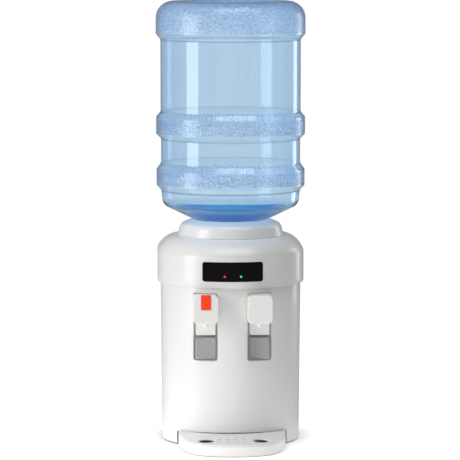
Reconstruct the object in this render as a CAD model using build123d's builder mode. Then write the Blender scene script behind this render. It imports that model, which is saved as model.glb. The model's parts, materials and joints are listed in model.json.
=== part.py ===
"""Countertop water dispenser with an inverted five-gallon bottle.

Millimetres, +Z up.  The origin is on the bottle's axis, on the surface the
dispenser stands on.  The front (taps, drip tray) faces -Y, +X is to the right
of a person standing in front of it.
"""

from build123d import *
from math import cos, sin, radians, pi, hypot
import os

os.makedirs("parts", exist_ok=True)

# ----------------------------------------------------------------------------
# driving dimensions
# ----------------------------------------------------------------------------
WALL = 2.5  # moulded cabinet wall
RUN = 0.3  # clearance between separate bodies

# cabinet: D-shaped plan, half circle in front, flat back
CAB_R_TOP = 127.1
CAB_R_BOTTOM = 124.4
CAB_BACK = 104.4
CAB_CORNER = 52.0
CAB_Z0 = 2.2
CAB_Z1 = 296.0

# top cover: band with a domed shoulder
BAND_R = 132.7
BAND_BACK = 110.0
BAND_CORNER = 58.0
BAND_Z0 = 288.5
BAND_Z1 = 346.0
DOME_RHO = 47.0
DOME_T0 = 65.0
DOME_T1 = 8.0
COVER_WALL = 2.8
COVER_OPENING_R = 86.0

# display window
PANEL_HALF = 54.0
PANEL_Z0, PANEL_Z1 = 300.8, 335.7
LED_X, LED_Z = 14.5, 310.0

# bottle
BOTTLE_WALL = 1.25
NECK_R = 27.5
NECK_Z = 324.0

# taps
TAP_X = 48.3
RECESS_HALF = 21.7
RECESS_Z0, RECESS_Z1 = 157.0, 279.0
RECESS_CORNER = 4.5
RECESS_BACK = -80.0
TAP_FACE = -150.0
TAP_COVER_HALF = 22.6
TAP_COVER_Z0, TAP_COVER_Z1 = 227.9, 277.8
PADDLE_HALF = 18.0
PADDLE_Z0, PADDLE_Z1 = 159.8, 198.4
HINGE_Y, HINGE_Z = -98.0, 199.6
VALVE_Y = -90.0
NOZZLE_Y = -132.0
SHANK_Z = 247.0

# drip tray
TRAY_OUT = -218.0
TRAY_HOLE_R = 13.3
TRAY_HOLE_Y = -178.0
CUT_HALF = 99.3

# cooling and heating
COLD_R, COLD_Z0, COLD_Z1 = 42.0, 186.0, 300.0
HOT_R, HOT_Z0, HOT_Z1, HOT_Y = 46.0, 42.0, 128.0, 15.0
FAN_Z = 235.0
DRAIN_X, DRAIN_Y, DRAIN_Z = 16.0, 34.0, 22.0


# ----------------------------------------------------------------------------
# profiles used by several pieces
# ----------------------------------------------------------------------------
def cabinet_plan(z, r, back, corner):
    """D-shaped outline at height z."""
    k = corner * cos(radians(45))
    cx, cy = r - corner, back - corner
    with BuildSketch(Plane.XY.offset(z)) as plan:
        with BuildLine():
            ThreePointArc((-r, 0), (0, -r), (r, 0))
            Line((r, 0), (r, cy))
            ThreePointArc((r, cy), (cx + k, cy + k), (cx, back))
            Line((cx, back), (-cx, back))
            ThreePointArc((-cx, back), (-cx - k, cy + k), (-r, cy))
            Line((-r, cy), (-r, 0))
        make_face()
    return plan.sketch


def cabinet_radius(z):
    """Outer radius of the drafted lower cabinet at height z."""
    return CAB_R_BOTTOM + (CAB_R_TOP - CAB_R_BOTTOM) * (z - CAB_Z0) / (CAB_Z1 - CAB_Z0)


def dome_point(t):
    """Inset and height of the domed shoulder where its slope is t degrees."""
    inset = DOME_RHO * (sin(radians(DOME_T0)) - sin(radians(t)))
    rise = DOME_RHO * (cos(radians(t)) - cos(radians(DOME_T0)))
    return inset, BAND_Z1 + rise


def hose(points, radii, outer, inner):
    """A silicone hose along straight runs joined by tangent arcs."""
    with BuildPart() as tube:
        with BuildLine() as route:
            FilletPolyline(*points, radius=radii)
        path = route.wires()[0]
        with BuildSketch(Plane(origin=path @ 0, z_dir=path % 0)):
            Circle(outer)
            Circle(inner, mode=Mode.SUBTRACT)
        sweep(path=path)
    length = path.length
    section = pi * (outer**2 - inner**2)
    print(f"hose length {length:.1f} mm, volume ratio {tube.part.volume / (section * length):.4f}")
    return tube.part


def write(piece, name):
    piece.label = name
    export_step(piece, f"parts/{name}.step")


# ----------------------------------------------------------------------------
# cavity of the lower cabinet, used to trim the pieces that meet its wall
# ----------------------------------------------------------------------------
with BuildPart() as cavity:
    loft(
        [
            cabinet_plan(CAB_Z0 - 1, CAB_R_BOTTOM - WALL, CAB_BACK - WALL, CAB_CORNER - WALL),
            cabinet_plan(CAB_Z1 + 1, CAB_R_TOP - WALL, CAB_BACK - WALL, CAB_CORNER - WALL),
        ],
        ruled=True,
    )

# opening for the drip tray: arched along its top edge
with BuildSketch(Plane.XZ) as tray_gate:
    with BuildLine():
        ThreePointArc((-CUT_HALF, 24.6), (0, 27.8), (CUT_HALF, 24.6))
        Polyline((CUT_HALF, 24.6), (CUT_HALF, -5), (-CUT_HALF, -5), (-CUT_HALF, 24.6))
    make_face()

# ----------------------------------------------------------------------------
# cabinet_shell: front and sides in one moulding, open behind the rear panel
# ----------------------------------------------------------------------------
BOSSES = [(118.2, 12.0), (-118.2, 12.0), (70.0, 98.2), (-70.0, 98.2)]
PANEL_SCREWS = [(x, z) for x in (-64.0, 64.0) for z in (42.0, 150.0, 274.0)]

with BuildPart() as cabinet_shell:
    loft(
        [
            cabinet_plan(CAB_Z0, CAB_R_BOTTOM, CAB_BACK, CAB_CORNER),
            cabinet_plan(CAB_Z1, CAB_R_TOP, CAB_BACK, CAB_CORNER),
        ],
        ruled=True,
    )
    fillet(cabinet_shell.faces().sort_by(Axis.Z)[0].edges(), 2.0)
    add(cavity.part, mode=Mode.SUBTRACT)
    # tap openings through the front wall
    with BuildSketch(Plane.XZ.offset(90)):
        with Locations((-TAP_X, (RECESS_Z0 + RECESS_Z1) / 2), (TAP_X, (RECESS_Z0 + RECESS_Z1) / 2)):
            RectangleRounded(2 * RECESS_HALF, RECESS_Z1 - RECESS_Z0, RECESS_CORNER)
    extrude(amount=50, mode=Mode.SUBTRACT)
    # drip-tray opening
    with BuildSketch(Plane.XZ.offset(60)):
        add(tray_gate.sketch)
    extrude(amount=80, mode=Mode.SUBTRACT)
    # service opening behind the rear panel, its screw holes, and the drain outlet
    with BuildSketch(Plane.XZ.offset(-95)):
        with Locations((0, 158)):
            RectangleRounded(112, 224, 6)
        with Locations(*PANEL_SCREWS):
            Circle(1.6)
        with Locations((DRAIN_X, DRAIN_Z)):
            Circle(7.3)
    extrude(amount=-20, mode=Mode.SUBTRACT)
    # screw bosses for the base
    with BuildSketch(Plane.XY.offset(5.4)):
        with Locations(*BOSSES):
            Circle(4.5)
    extrude(amount=20)
    with BuildSketch(Plane.XY.offset(5.4)):
        with Locations(*BOSSES):
            Circle(1.5)
    extrude(amount=16, mode=Mode.SUBTRACT)
    # posts for the power board, moulded on the right-hand wall
    with BuildSketch(Plane.YZ.offset(92.9)):
        with Locations(*[(y, z) for y in (-6, 52) for z in (34, 116)]):
            Circle(3.0)
    extrude(amount=31.6)
write(cabinet_shell.part, "cabinet_shell")

# ----------------------------------------------------------------------------
# base_plate, its screws and the non-slip ring under it
# ----------------------------------------------------------------------------
with BuildPart() as base_plate:
    extrude(cabinet_plan(CAB_Z0, CAB_R_BOTTOM - WALL - 0.6, CAB_BACK - WALL - 0.6, CAB_CORNER - WALL - 0.6), amount=2.9)
    with Locations(*[(x, y, CAB_Z0) for x, y in BOSSES]):
        Cylinder(3.6, 1.9, align=(Align.CENTER, Align.CENTER, Align.MIN), mode=Mode.SUBTRACT)
        Cylinder(1.7, 6, align=(Align.CENTER, Align.CENTER, Align.MIN), mode=Mode.SUBTRACT)
    # air intake slots
    with BuildSketch(Plane.XY.offset(CAB_Z0)):
        with GridLocations(0, 9, 1, 5):
            with Locations((0, -20)):
                SlotOverall(60, 4)
    extrude(amount=4, mode=Mode.SUBTRACT)
write(base_plate.part, "base_plate")

with BuildPart() as foot_ring:
    with BuildSketch():
        Circle(100)
        Circle(91, mode=Mode.SUBTRACT)
    extrude(amount=CAB_Z0)
    chamfer(foot_ring.faces().sort_by(Axis.Z)[0].edges(), 0.5)
write(foot_ring.part, "foot_ring")

# ----------------------------------------------------------------------------
# rear_panel with grilles, and its screws
# ----------------------------------------------------------------------------
with BuildPart() as rear_panel:
    with BuildSketch(Plane.XZ.offset(-CAB_BACK)):
        with Locations((0, 158)):
            RectangleRounded(140, 248, 8)
    extrude(amount=-2.2)
    fillet(rear_panel.faces().sort_by(Axis.Y)[-1].outer_wire().edges(), 1.2)
    # fan grille and lower vents
    with BuildSketch(Plane.XZ.offset(-CAB_BACK + 1)):
        with Locations((0, FAN_Z)):
            with GridLocations(0, 8, 1, 9):
                SlotOverall(78, 4)
        with Locations((0, 140)):
            with GridLocations(0, 8, 1, 5):
                SlotOverall(78, 4)
    extrude(amount=-6, mode=Mode.SUBTRACT)
    # two switches and the mains inlet
    with BuildSketch(Plane.XZ.offset(-CAB_BACK + 1)):
        with Locations((-20, 76), (-42, 76)):
            Rectangle(13.6, 19.6)
        with Locations((28, 76)):
            Rectangle(27.6, 20.6)
    extrude(amount=-6, mode=Mode.SUBTRACT)
    with BuildSketch(Plane.XZ.offset(-CAB_BACK + 1)):
        with Locations(*PANEL_SCREWS):
            Circle(1.8)
    extrude(amount=-6, mode=Mode.SUBTRACT)
write(rear_panel.part, "rear_panel")

# one kind of self-tapping screw holds the base, the rear panel and the fan
FAN_HOLES = 36.4
SCREW_PLACES = (
    [Plane(origin=(x, CAB_BACK + 2.2, z), z_dir=(0, 1, 0)) for x, z in PANEL_SCREWS]
    + [Plane(origin=(x, y, CAB_Z0 + 1.8), z_dir=(0, 0, -1)) for x, y in BOSSES]
    + [Plane(origin=(x, 100.4, FAN_Z + z), z_dir=(0, 1, 0)) for x in (-FAN_HOLES, FAN_HOLES) for z in (-FAN_HOLES, FAN_HOLES)]
)
with BuildPart() as case_screws:
    with Locations(*SCREW_PLACES):
        Cylinder(3.1, 1.5, align=(Align.CENTER, Align.CENTER, Align.MIN))
        Cylinder(1.45, 14.0, align=(Align.CENTER, Align.CENTER, Align.MAX))
write(case_screws.part, "case_screws")

# ----------------------------------------------------------------------------
# top_cover
# ----------------------------------------------------------------------------
DOME_T = (65.0, 50.0, 35.0, 20.0, 8.0)
dome_outer, dome_inner = [], []
for t in DOME_T:
    inset, z = dome_point(t)
    dome_outer.append(cabinet_plan(z, BAND_R - inset, BAND_BACK - inset, BAND_CORNER - inset))
    dome_inner.append(cabinet_plan(z - 2.6, BAND_R - COVER_WALL - inset, BAND_BACK - COVER_WALL - inset, BAND_CORNER - COVER_WALL - inset))
COLLAR_SEAT_Z = dome_point(DOME_T1)[1]

with BuildPart() as panel_blank:
    with BuildSketch(Plane.XY.offset(BAND_Z0)):
        Circle(BAND_R + 0.1)
        Circle(BAND_R - 1.2, mode=Mode.SUBTRACT)
    extrude(amount=60)
    with BuildSketch(Plane.XZ.offset(100)):
        with Locations((0, (PANEL_Z0 + PANEL_Z1) / 2)):
            RectangleRounded(2 * PANEL_HALF, PANEL_Z1 - PANEL_Z0, 4.5)
    extrude(amount=50, mode=Mode.INTERSECT)

with BuildPart() as panel_pocket:
    with BuildSketch(Plane.XY.offset(BAND_Z0)):
        Circle(BAND_R + 2)
        Circle(BAND_R - 1.3, mode=Mode.SUBTRACT)
    extrude(amount=60)
    with BuildSketch(Plane.XZ.offset(100)):
        with Locations((0, (PANEL_Z0 + PANEL_Z1) / 2)):
            RectangleRounded(2 * PANEL_HALF + 0.2, PANEL_Z1 - PANEL_Z0 + 0.2, 4.6)
    extrude(amount=50, mode=Mode.INTERSECT)

with BuildPart() as top_cover:
    extrude(cabinet_plan(BAND_Z0, BAND_R, BAND_BACK, BAND_CORNER), amount=BAND_Z1 - BAND_Z0)
    fillet(top_cover.faces().sort_by(Axis.Z)[0].edges(), 2.6)
    loft(dome_outer)
    extrude(cabinet_plan(BAND_Z0 - 1, BAND_R - COVER_WALL, BAND_BACK - COVER_WALL, BAND_CORNER - COVER_WALL), amount=BAND_Z1 - 2.6 - BAND_Z0 + 1, mode=Mode.SUBTRACT)
    loft(dome_inner, mode=Mode.SUBTRACT)
    # ledge that sits on the cabinet's top edge
    extrude(cabinet_plan(CAB_Z1, BAND_R - COVER_WALL + 0.2, BAND_BACK - COVER_WALL + 0.2, BAND_CORNER - COVER_WALL + 0.2), amount=2.4)
    extrude(cabinet_plan(CAB_Z1 - 1, CAB_R_TOP - WALL - 1.0, CAB_BACK - WALL - 1.0, CAB_CORNER - WALL - 1.0), amount=4.4, mode=Mode.SUBTRACT)
    # opening under the collar
    with Locations((0, 0, COLLAR_SEAT_Z)):
        Cylinder(COVER_OPENING_R, 20, mode=Mode.SUBTRACT)
    add(panel_pocket.part, mode=Mode.SUBTRACT)
    # light-pipe holes
    with BuildSketch(Plane.XZ.offset(120)):
        with Locations((-LED_X, LED_Z), (LED_X, LED_Z)):
            Circle(2.1)
    extrude(amount=20, mode=Mode.SUBTRACT)
write(top_cover.part, "top_cover")

with BuildPart() as display_panel:
    add(panel_blank.part)
    with BuildSketch(Plane.XZ.offset(120)):
        with Locations((-LED_X, LED_Z), (LED_X, LED_Z)):
            Circle(2.0)
    extrude(amount=20, mode=Mode.SUBTRACT)
write(display_panel.part, "display_panel")

for name, x in (("heating_indicator", -LED_X), ("cooling_indicator", LED_X)):
    with BuildPart() as indicator:
        with BuildSketch(Plane.XZ.offset(122.2)):
            with Locations((x, LED_Z)):
                Circle(1.9)
        extrude(amount=BAND_R - 122.2 - 0.4)
    write(indicator.part, name)

with BuildPart() as indicator_board:
    with BuildSketch(Plane.XZ.offset(120.6)):
        with Locations((0, 311)):
            Rectangle(70, 20)
    extrude(amount=1.6)
    with BuildSketch(Plane.XZ.offset(114.6)):
        with Locations((24, 311)):
            Rectangle(12, 8)
    extrude(amount=6)
write(indicator_board.part, "indicator_board")

# ----------------------------------------------------------------------------
# bottle_collar: shouldered ring with a funnel and cup for the bottle's neck
# ----------------------------------------------------------------------------
SEAT = COLLAR_SEAT_Z + 0.3
CUP_Z = 316.0
with BuildPart() as bottle_collar:
    with BuildSketch(Plane.XZ) as profile:
        with BuildLine():
            Polyline(
                (96.4, SEAT), (91.9, 389.6), (88.2, 394.6), (79.5, 398.4), (69.4, 402.0),
                (34.4, 385.1), (31.6, 381.5), (31.6, CUP_Z + 2.5), (9.0, CUP_Z + 2.5), (9.0, CUP_Z),
                (34.1, CUP_Z), (34.1, 382.5), (68.5, 398.6), (78.0, 395.0), (86.0, 391.6), (89.2, 388.0),
                (92.6, SEAT + 2.5), (82.6, SEAT + 2.5), (82.6, 362.0), (85.0, 362.0), (85.0, SEAT), (96.4, SEAT),
            )
        make_face()
        fillet([v for v in profile.vertices() if abs(v.Y - 389.6) < 0.01 or abs(v.Y - 394.6) < 0.01], 2.0)
    revolve(axis=Axis.Z)
write(bottle_collar.part, "bottle_collar")

with BuildPart() as bottle_probe:
    with BuildSketch(Plane.XZ):
        with BuildLine():
            Polyline(
                (0, 374), (3.2, 372.5), (7.8, 362), (7.8, 321.6), (20, 321.6), (20, CUP_Z + 2.6),
                (8.8, CUP_Z + 2.6), (8.8, CUP_Z - 0.1), (13.6, CUP_Z - 0.1), (13.6, 297), (5.6, 297), (5.6, 360), (0, 366), (0, 374),
            )
        make_face()
    revolve(axis=Axis.Z)
    # water windows near the tip
    with BuildSketch(Plane.XZ):
        with Locations((0, 350)):
            SlotOverall(16, 5, rotation=90)
    extrude(amount=20, both=True, mode=Mode.SUBTRACT)
write(bottle_probe.part, "bottle_probe")

with BuildPart() as probe_seal:
    with BuildSketch(Plane.XY.offset(304.5)):
        Circle(18)
        Circle(13.65, mode=Mode.SUBTRACT)
    extrude(amount=4.6)
write(probe_seal.part, "probe_seal")

# ----------------------------------------------------------------------------
# water_bottle and its cap
# ----------------------------------------------------------------------------
def bottle_profile(inset):
    """Half section of the bottle, shrunk by inset, closed on the axis."""
    w = inset
    lift = w * 1.11  # vertical offset of the cone for a constant wall
    z0 = NECK_Z if w == 0 else NECK_Z - 1
    top = 796.5 - w
    with BuildSketch(Plane.XZ) as half:
        with BuildLine():
            Polyline(
                (0, z0), (NECK_R - w, z0), (NECK_R - w, 382.2 + lift), (122.6 - 0.4 * w, 428.4 + lift),
                (126.0 - w, 455.0 + 0.3 * w), (134.2 - w, 464.0 + 0.3 * w), (134.2 - w, 492.5 - 0.3 * w), (126.0 - w, 504.0 - 0.3 * w),
                (126.0 - w, 548.0 + 0.3 * w), (134.9 - w, 556.5 + 0.3 * w), (134.9 - w, 587.5 - 0.3 * w), (126.8 - w, 597.0 - 0.3 * w),
                (126.9 - w, 727.0 + 0.3 * w), (135.4 - w, 737.5 + 0.3 * w), (135.4 - w, top),
                (98.0 + w, top), (88.0 + w, 788.0 - w), (0, 786.0 - w), (0, z0),
            )
        make_face()

        def at(r, z):
            return [p for p in half.vertices() if abs(p.X - r) < 0.3 and abs(p.Y - z) < 0.3]

        fillet(at(135.4 - w, top), 31.0 - w)
        fillet(at(122.6 - 0.4 * w, 428.4 + lift), 15.0)
        fillet(at(NECK_R - w, 382.2 + lift), 4.0 + w)
        for r, z in ((126.0, 455.0), (134.2, 464.0), (134.2, 492.5), (126.0, 504.0), (126.0, 548.0), (134.9, 556.5), (134.9, 587.5), (126.8, 597.0), (126.9, 727.0), (135.4, 737.5)):
            fillet([p for p in half.vertices() if abs(p.X - (r - w)) < 0.2 and abs(p.Y - z) < 0.8], 4.0)
    return half.sketch


bottle_outer = bottle_profile(0)
bottle_inner = bottle_profile(BOTTLE_WALL)
with BuildPart() as water_bottle:
    revolve(bottle_outer, axis=Axis.Z)
    revolve(bottle_inner, axis=Axis.Z, mode=Mode.SUBTRACT)
write(water_bottle.part, "water_bottle")

with BuildPart() as bottle_cap:
    with BuildSketch(Plane.XZ):
        with BuildLine():
            Polyline(
                (29.6, 322.2), (29.6, 352), (27.6, 352), (27.6, 323.9), (11.0, 323.9), (11.0, 346), (9.2, 346), (9.2, 322.2), (29.6, 322.2),
            )
        make_face()
    revolve(axis=Axis.Z)
write(bottle_cap.part, "bottle_cap")

# ----------------------------------------------------------------------------
# taps: hot on the left of the user, cold on the right
# ----------------------------------------------------------------------------
for side, x0 in (("hot", -TAP_X), ("cold", TAP_X)):
    zc = (RECESS_Z0 + RECESS_Z1) / 2
    hgt = RECESS_Z1 - RECESS_Z0

    # recess liner: a rounded box let into the front wall
    with BuildPart() as liner:
        with BuildSketch(Plane.XZ.offset(-RECESS_BACK - 2)):
            with Locations((x0, zc)):
                RectangleRounded(2 * RECESS_HALF + 3.2, hgt + 3.2, RECESS_CORNER + 1.6)
        extrude(amount=50)
        add(cavity.part, mode=Mode.INTERSECT)
        with BuildSketch(Plane.XZ.offset(-RECESS_BACK)):
            with Locations((x0, zc)):
                RectangleRounded(2 * RECESS_HALF, hgt, RECESS_CORNER)
        extrude(amount=60, mode=Mode.SUBTRACT)
        # shank hole and hinge-pin holes
        with BuildSketch(Plane.XZ.offset(-RECESS_BACK - 4)):
            with Locations((x0, SHANK_Z)):
                Circle(8.1)
        extrude(amount=8, mode=Mode.SUBTRACT)
        with BuildSketch(Plane.YZ.offset(x0 - 30)):
            with Locations((HINGE_Y, HINGE_Z)):
                Circle(1.5)
        extrude(amount=60, mode=Mode.SUBTRACT)
    write(liner.part, f"{side}_tap_recess")

    # tap body: valve block, snout and threaded shank with hose barb
    with BuildPart() as tap_body:
        with BuildSketch(Plane.XZ.offset(-RECESS_BACK)):
            with Locations((x0, 232.5)):
                RectangleRounded(35, 59, 2.5)
        extrude(amount=32)
        with BuildSketch(Plane.XZ.offset(100)):
            with Locations((x0, 244)):
                RectangleRounded(24, 26, 4)
        extrude(amount=42.5)
        with BuildSketch(Plane.XZ.offset(-RECESS_BACK + 1)):
            with Locations((x0, SHANK_Z)):
                Circle(7.9)
        extrude(amount=-20)
        with BuildSketch(Plane.XZ.offset(61)):
            with Locations((x0, SHANK_Z)):
                Circle(4.2)
        extrude(amount=-9)
        # inlet bore, valve chamber, seat passage, outlet bore and stem guide
        with BuildSketch(Plane.XZ.offset(48)):
            with Locations((x0, SHANK_Z)):
                Circle(2.6)
        extrude(amount=-VALVE_Y - 48, mode=Mode.SUBTRACT)
        with Locations((x0, VALVE_Y, 240)):
            Cylinder(6.2, 17, align=(Align.CENTER, Align.CENTER, Align.MIN), mode=Mode.SUBTRACT)
        with Locations((x0, VALVE_Y, 257)):
            Cylinder(7.6, 8, align=(Align.CENTER, Align.CENTER, Align.MIN), mode=Mode.SUBTRACT)
        with Locations((x0, VALVE_Y, 231.5)):
            Cylinder(3.6, 10, align=(Align.CENTER, Align.CENTER, Align.MIN), mode=Mode.SUBTRACT)
        with Locations((x0, VALVE_Y, 200)):
            Cylinder(1.65, 32, align=(Align.CENTER, Align.CENTER, Align.MIN), mode=Mode.SUBTRACT)
        with BuildSketch(Plane.XZ.offset(-NOZZLE_Y)):
            with Locations((x0, 235)):
                Circle(2.8)
        extrude(amount=-(-NOZZLE_Y + VALVE_Y), mode=Mode.SUBTRACT)
        with Locations((x0, NOZZLE_Y, 229)):
            Cylinder(2.8, 6, align=(Align.CENTER, Align.CENTER, Align.MIN), mode=Mode.SUBTRACT)
        # pocket for the paddle's finger
        with Locations((x0, -91, 202)):
            Box(7, 15, 5.4, align=(Align.CENTER, Align.CENTER, Align.MIN), mode=Mode.SUBTRACT)
    write(tap_body.part, f"{side}_tap_body")

    # valve: stem with a silicone plug, lifted by the paddle
    with BuildPart() as valve_stem:
        with Locations((x0, VALVE_Y, 202.6)):
            Cylinder(1.6, 38, align=(Align.CENTER, Align.CENTER, Align.MIN))
        with Locations((x0, VALVE_Y, 240.05)):
            Cylinder(5.2, 3.2, align=(Align.CENTER, Align.CENTER, Align.MIN))
            Cylinder(1.8, 6.0, align=(Align.CENTER, Align.CENTER, Align.MIN))
    write(valve_stem.part, f"{side}_valve_stem")

    with BuildPart() as valve_spring:
        with BuildLine(Plane(origin=(x0, VALVE_Y, 243.7))) as coil:
            Helix(pitch=2.6, height=13.0, radius=3.6)
        with BuildSketch(Plane(origin=coil.line @ 0, z_dir=coil.line % 0)):
            Circle(0.4)
        sweep(path=coil.line, is_frenet=True)
    write(valve_spring.part, f"{side}_valve_spring")

    # paddle: pressed by the cup, hinged behind its upper edge
    with BuildPart() as paddle:
        with BuildSketch(Plane.XZ.offset(106)):
            with Locations((x0, (PADDLE_Z0 + PADDLE_Z1) / 2)):
                RectangleRounded(2 * PADDLE_HALF, PADDLE_Z1 - PADDLE_Z0, 2.4)
        extrude(amount=6)
        chamfer(paddle.faces().sort_by(Axis.Y)[0].outer_wire().edges(), 1.4)
        # web up to the knuckle, knuckle, and the finger under the valve stem
        with BuildSketch(Plane.YZ.offset(x0 - 15)):
            with BuildLine():
                Polyline((-107, 186), (-104, 186), (-95.4, 198.5), (-98.0, 201.8), (-100.6, 200.6), (-107, 195), (-107, 186))
            make_face()
        extrude(amount=30)
        with BuildSketch(Plane.YZ.offset(x0 - 17)):
            with Locations((HINGE_Y, HINGE_Z)):
                Circle(2.9)
        extrude(amount=34)
        with BuildSketch(Plane.YZ.offset(x0 - 2.5)):
            with Locations((-91.5, 200.4)):
                Rectangle(12.0, 3.0)
        extrude(amount=5)
        with BuildSketch(Plane.YZ.offset(x0 - 30)):
            with Locations((HINGE_Y, HINGE_Z)):
                Circle(1.53)
        extrude(amount=60, mode=Mode.SUBTRACT)
    write(paddle.part, f"{side}_paddle")

    # tap cover: moulded cap over the valve block
    with BuildPart() as clearance_block:
        with BuildSketch(Plane.XZ.offset(70)):
            with Locations((x0, 231)):
                Rectangle(35.8, 64)
        extrude(amount=42.4)
    with BuildPart() as front_keep:
        with BuildSketch():
            Circle(200)
            Circle(CAB_R_TOP + 1.0, mode=Mode.SUBTRACT)
        extrude(amount=400)
    with BuildPart() as tap_cover:
        with BuildSketch(Plane.XZ.offset(100)):
            with Locations((x0, (TAP_COVER_Z0 + TAP_COVER_Z1) / 2)):
                RectangleRounded(2 * TAP_COVER_HALF, TAP_COVER_Z1 - TAP_COVER_Z0, 8)
        extrude(amount=50)
        fillet(tap_cover.faces().sort_by(Axis.Y)[0].outer_wire().edges(), 1.6)
        add(front_keep.part, mode=Mode.INTERSECT)
        with BuildSketch(Plane.XZ.offset(100)):
            with Locations((x0, (TAP_COVER_Z0 + TAP_COVER_Z1) / 2)):
                RectangleRounded(42.4, TAP_COVER_Z1 - TAP_COVER_Z0 - 0.6, 7.5)
        extrude(amount=40)
        with BuildSketch(Plane.XZ.offset(95)):
            with Locations((x0, (TAP_COVER_Z0 + TAP_COVER_Z1) / 2)):
                RectangleRounded(38.4, TAP_COVER_Z1 - TAP_COVER_Z0 - 4.6, 5.5)
        extrude(amount=53, mode=Mode.SUBTRACT)
        add(clearance_block.part, mode=Mode.SUBTRACT)
        with Locations((x0, NOZZLE_Y, 220)):
            Cylinder(5.3, 14, align=(Align.CENTER, Align.CENTER, Align.MIN), mode=Mode.SUBTRACT)
        if side == "hot":
            # slot for the child lock, open through the top edge
            with BuildSketch(Plane.XZ.offset(136)):
                with Locations((x0, 268)):
                    Rectangle(2 * 9.1, 31)
            extrude(amount=20, mode=Mode.SUBTRACT)
    write(tap_cover.part, f"{side}_tap_cover")

# small pieces that are the same on both taps
with BuildPart() as paddle_pins:
    for x0 in (-TAP_X, TAP_X):
        with BuildSketch(Plane.YZ.offset(x0 - RECESS_HALF - 1.4)):
            with Locations((HINGE_Y, HINGE_Z)):
                Circle(1.47)
        extrude(amount=2 * RECESS_HALF + 2.8)
write(paddle_pins.part, "paddle_pins")

with BuildPart() as tap_nozzles:
    for x0 in (-TAP_X, TAP_X):
        with Locations((x0, NOZZLE_Y, 219.5)):
            Cylinder(4.8, 11.5, align=(Align.CENTER, Align.CENTER, Align.MIN))
            Cylinder(2.8, 11.5, align=(Align.CENTER, Align.CENTER, Align.MIN), mode=Mode.SUBTRACT)
    chamfer(tap_nozzles.faces().group_by(Axis.Z)[0].edges().filter_by(lambda e: e.radius > 4), 0.8)
write(tap_nozzles.part, "tap_nozzles")

with BuildPart() as tap_nuts:
    with BuildSketch(Plane.XZ.offset(-RECESS_BACK - 2)):
        with Locations((-TAP_X, SHANK_Z), (TAP_X, SHANK_Z)):
            RegularPolygon(12.5, 6)
            Circle(7.95, mode=Mode.SUBTRACT)
    extrude(amount=-6)
write(tap_nuts.part, "tap_nuts")

with BuildPart() as valve_caps:
    with Locations((-TAP_X, VALVE_Y, 257), (TAP_X, VALVE_Y, 257)):
        Cylinder(7.5, 4.6, align=(Align.CENTER, Align.CENTER, Align.MIN))
        Cylinder(5.6, 1.2, align=(Align.CENTER, Align.CENTER, Align.MIN), mode=Mode.SUBTRACT)
write(valve_caps.part, "valve_caps")

with BuildPart() as child_lock:
    with BuildSketch(Plane.XZ.offset(146.5)):
        with Locations((-TAP_X, 266.0)):
            RectangleRounded(17.4, 26.2, 1.6)
    extrude(amount=4.7)
    with BuildSketch(Plane.XZ.offset(140.0)):
        with Locations((-TAP_X, 277.0)):
            Rectangle(17.4, 4.2)
    extrude(amount=9.0)
    with BuildSketch(Plane.XZ.offset(144.0)):
        with Locations((-TAP_X, 264.0)):
            Rectangle(9.0, 5.0)
    extrude(amount=4.0)
    fillet(child_lock.faces().sort_by(Axis.Y)[0].outer_wire().edges(), 0.9)
write(child_lock.part, "child_lock")

# ----------------------------------------------------------------------------
# drip tray and its cover
# ----------------------------------------------------------------------------
def tray_plan(z, d):
    """Tongue outline of the drip tray, inset by d, from inside the cabinet to its front."""
    pts = [(96.8, 70), (95.9, 100), (92.2, 130), (86.0, 158), (76.5, 182), (61.0, 201), (38.0, 212.6), (0, 218)]
    # inset each point along the outline's normal
    out = []
    n = len(pts)
    for i, (px, py) in enumerate(pts):
        ax, ay = pts[max(i - 1, 0)]
        bx, by = pts[min(i + 1, n - 1)]
        tx, ty = bx - ax, by - ay
        if i == 0:
            tx, ty = 0.0, 1.0
        if i == n - 1:
            tx, ty = -1.0, 0.0
        k = hypot(tx, ty)
        nx, ny = -ty / k, tx / k
        out.append((px + nx * d, py + ny * d))
    right = [(x, -y) for x, y in out]
    left = [(-x, -y) for x, y in out[:-1]]
    with BuildSketch(Plane.XY.offset(z)) as plan:
        with BuildLine():
            Spline(*left, *reversed(right), tangents=[(0, -1), (0, 1)])
            Line(right[0], left[0])
        make_face()
    return plan.sketch


TILT = 3.5  # degrees; the top falls towards the front
TOP_R = 1500.0  # slight crown across the top


def tray_top(height):
    """Everything below the tray's crowned, tilted top; height is measured at the cabinet wall."""
    a = radians(TILT)
    y0 = 60.0
    t = (y0 - TOP_R * sin(a) + 124.6) / cos(a)
    zc = height - TOP_R * cos(a) + t * sin(a)
    with BuildPart() as form:
        with BuildSketch(Plane(origin=(0, y0, zc), x_dir=(1, 0, 0), z_dir=(0, -cos(a), -sin(a)))):
            Circle(TOP_R)
        extrude(amount=260)
    return form.part


tray_top_form = tray_top(27.1)
tray_seam_form = tray_top(24.8)
tray_low_form = tray_top(24.5)

with BuildPart() as tray_form:
    extrude(tray_plan(0.6, 0), amount=34)
    fillet(tray_form.faces().sort_by(Axis.Z)[0].edges().filter_by(GeomType.BSPLINE), 2.0)
    add(tray_top_form, mode=Mode.INTERSECT)
    # only what stands in front of the cabinet wall
    with Locations((0, 0, -10)):
        Cylinder(CAB_R_BOTTOM + 1.2, 60, align=(Align.CENTER, Align.CENTER, Align.MIN), mode=Mode.SUBTRACT)

with BuildPart() as basin:
    extrude(tray_plan(3.0, 2.4), amount=40)
    Cylinder(CAB_R_BOTTOM + 3.6, 60, align=(Align.CENTER, Align.CENTER, Align.MIN), mode=Mode.SUBTRACT)

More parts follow.
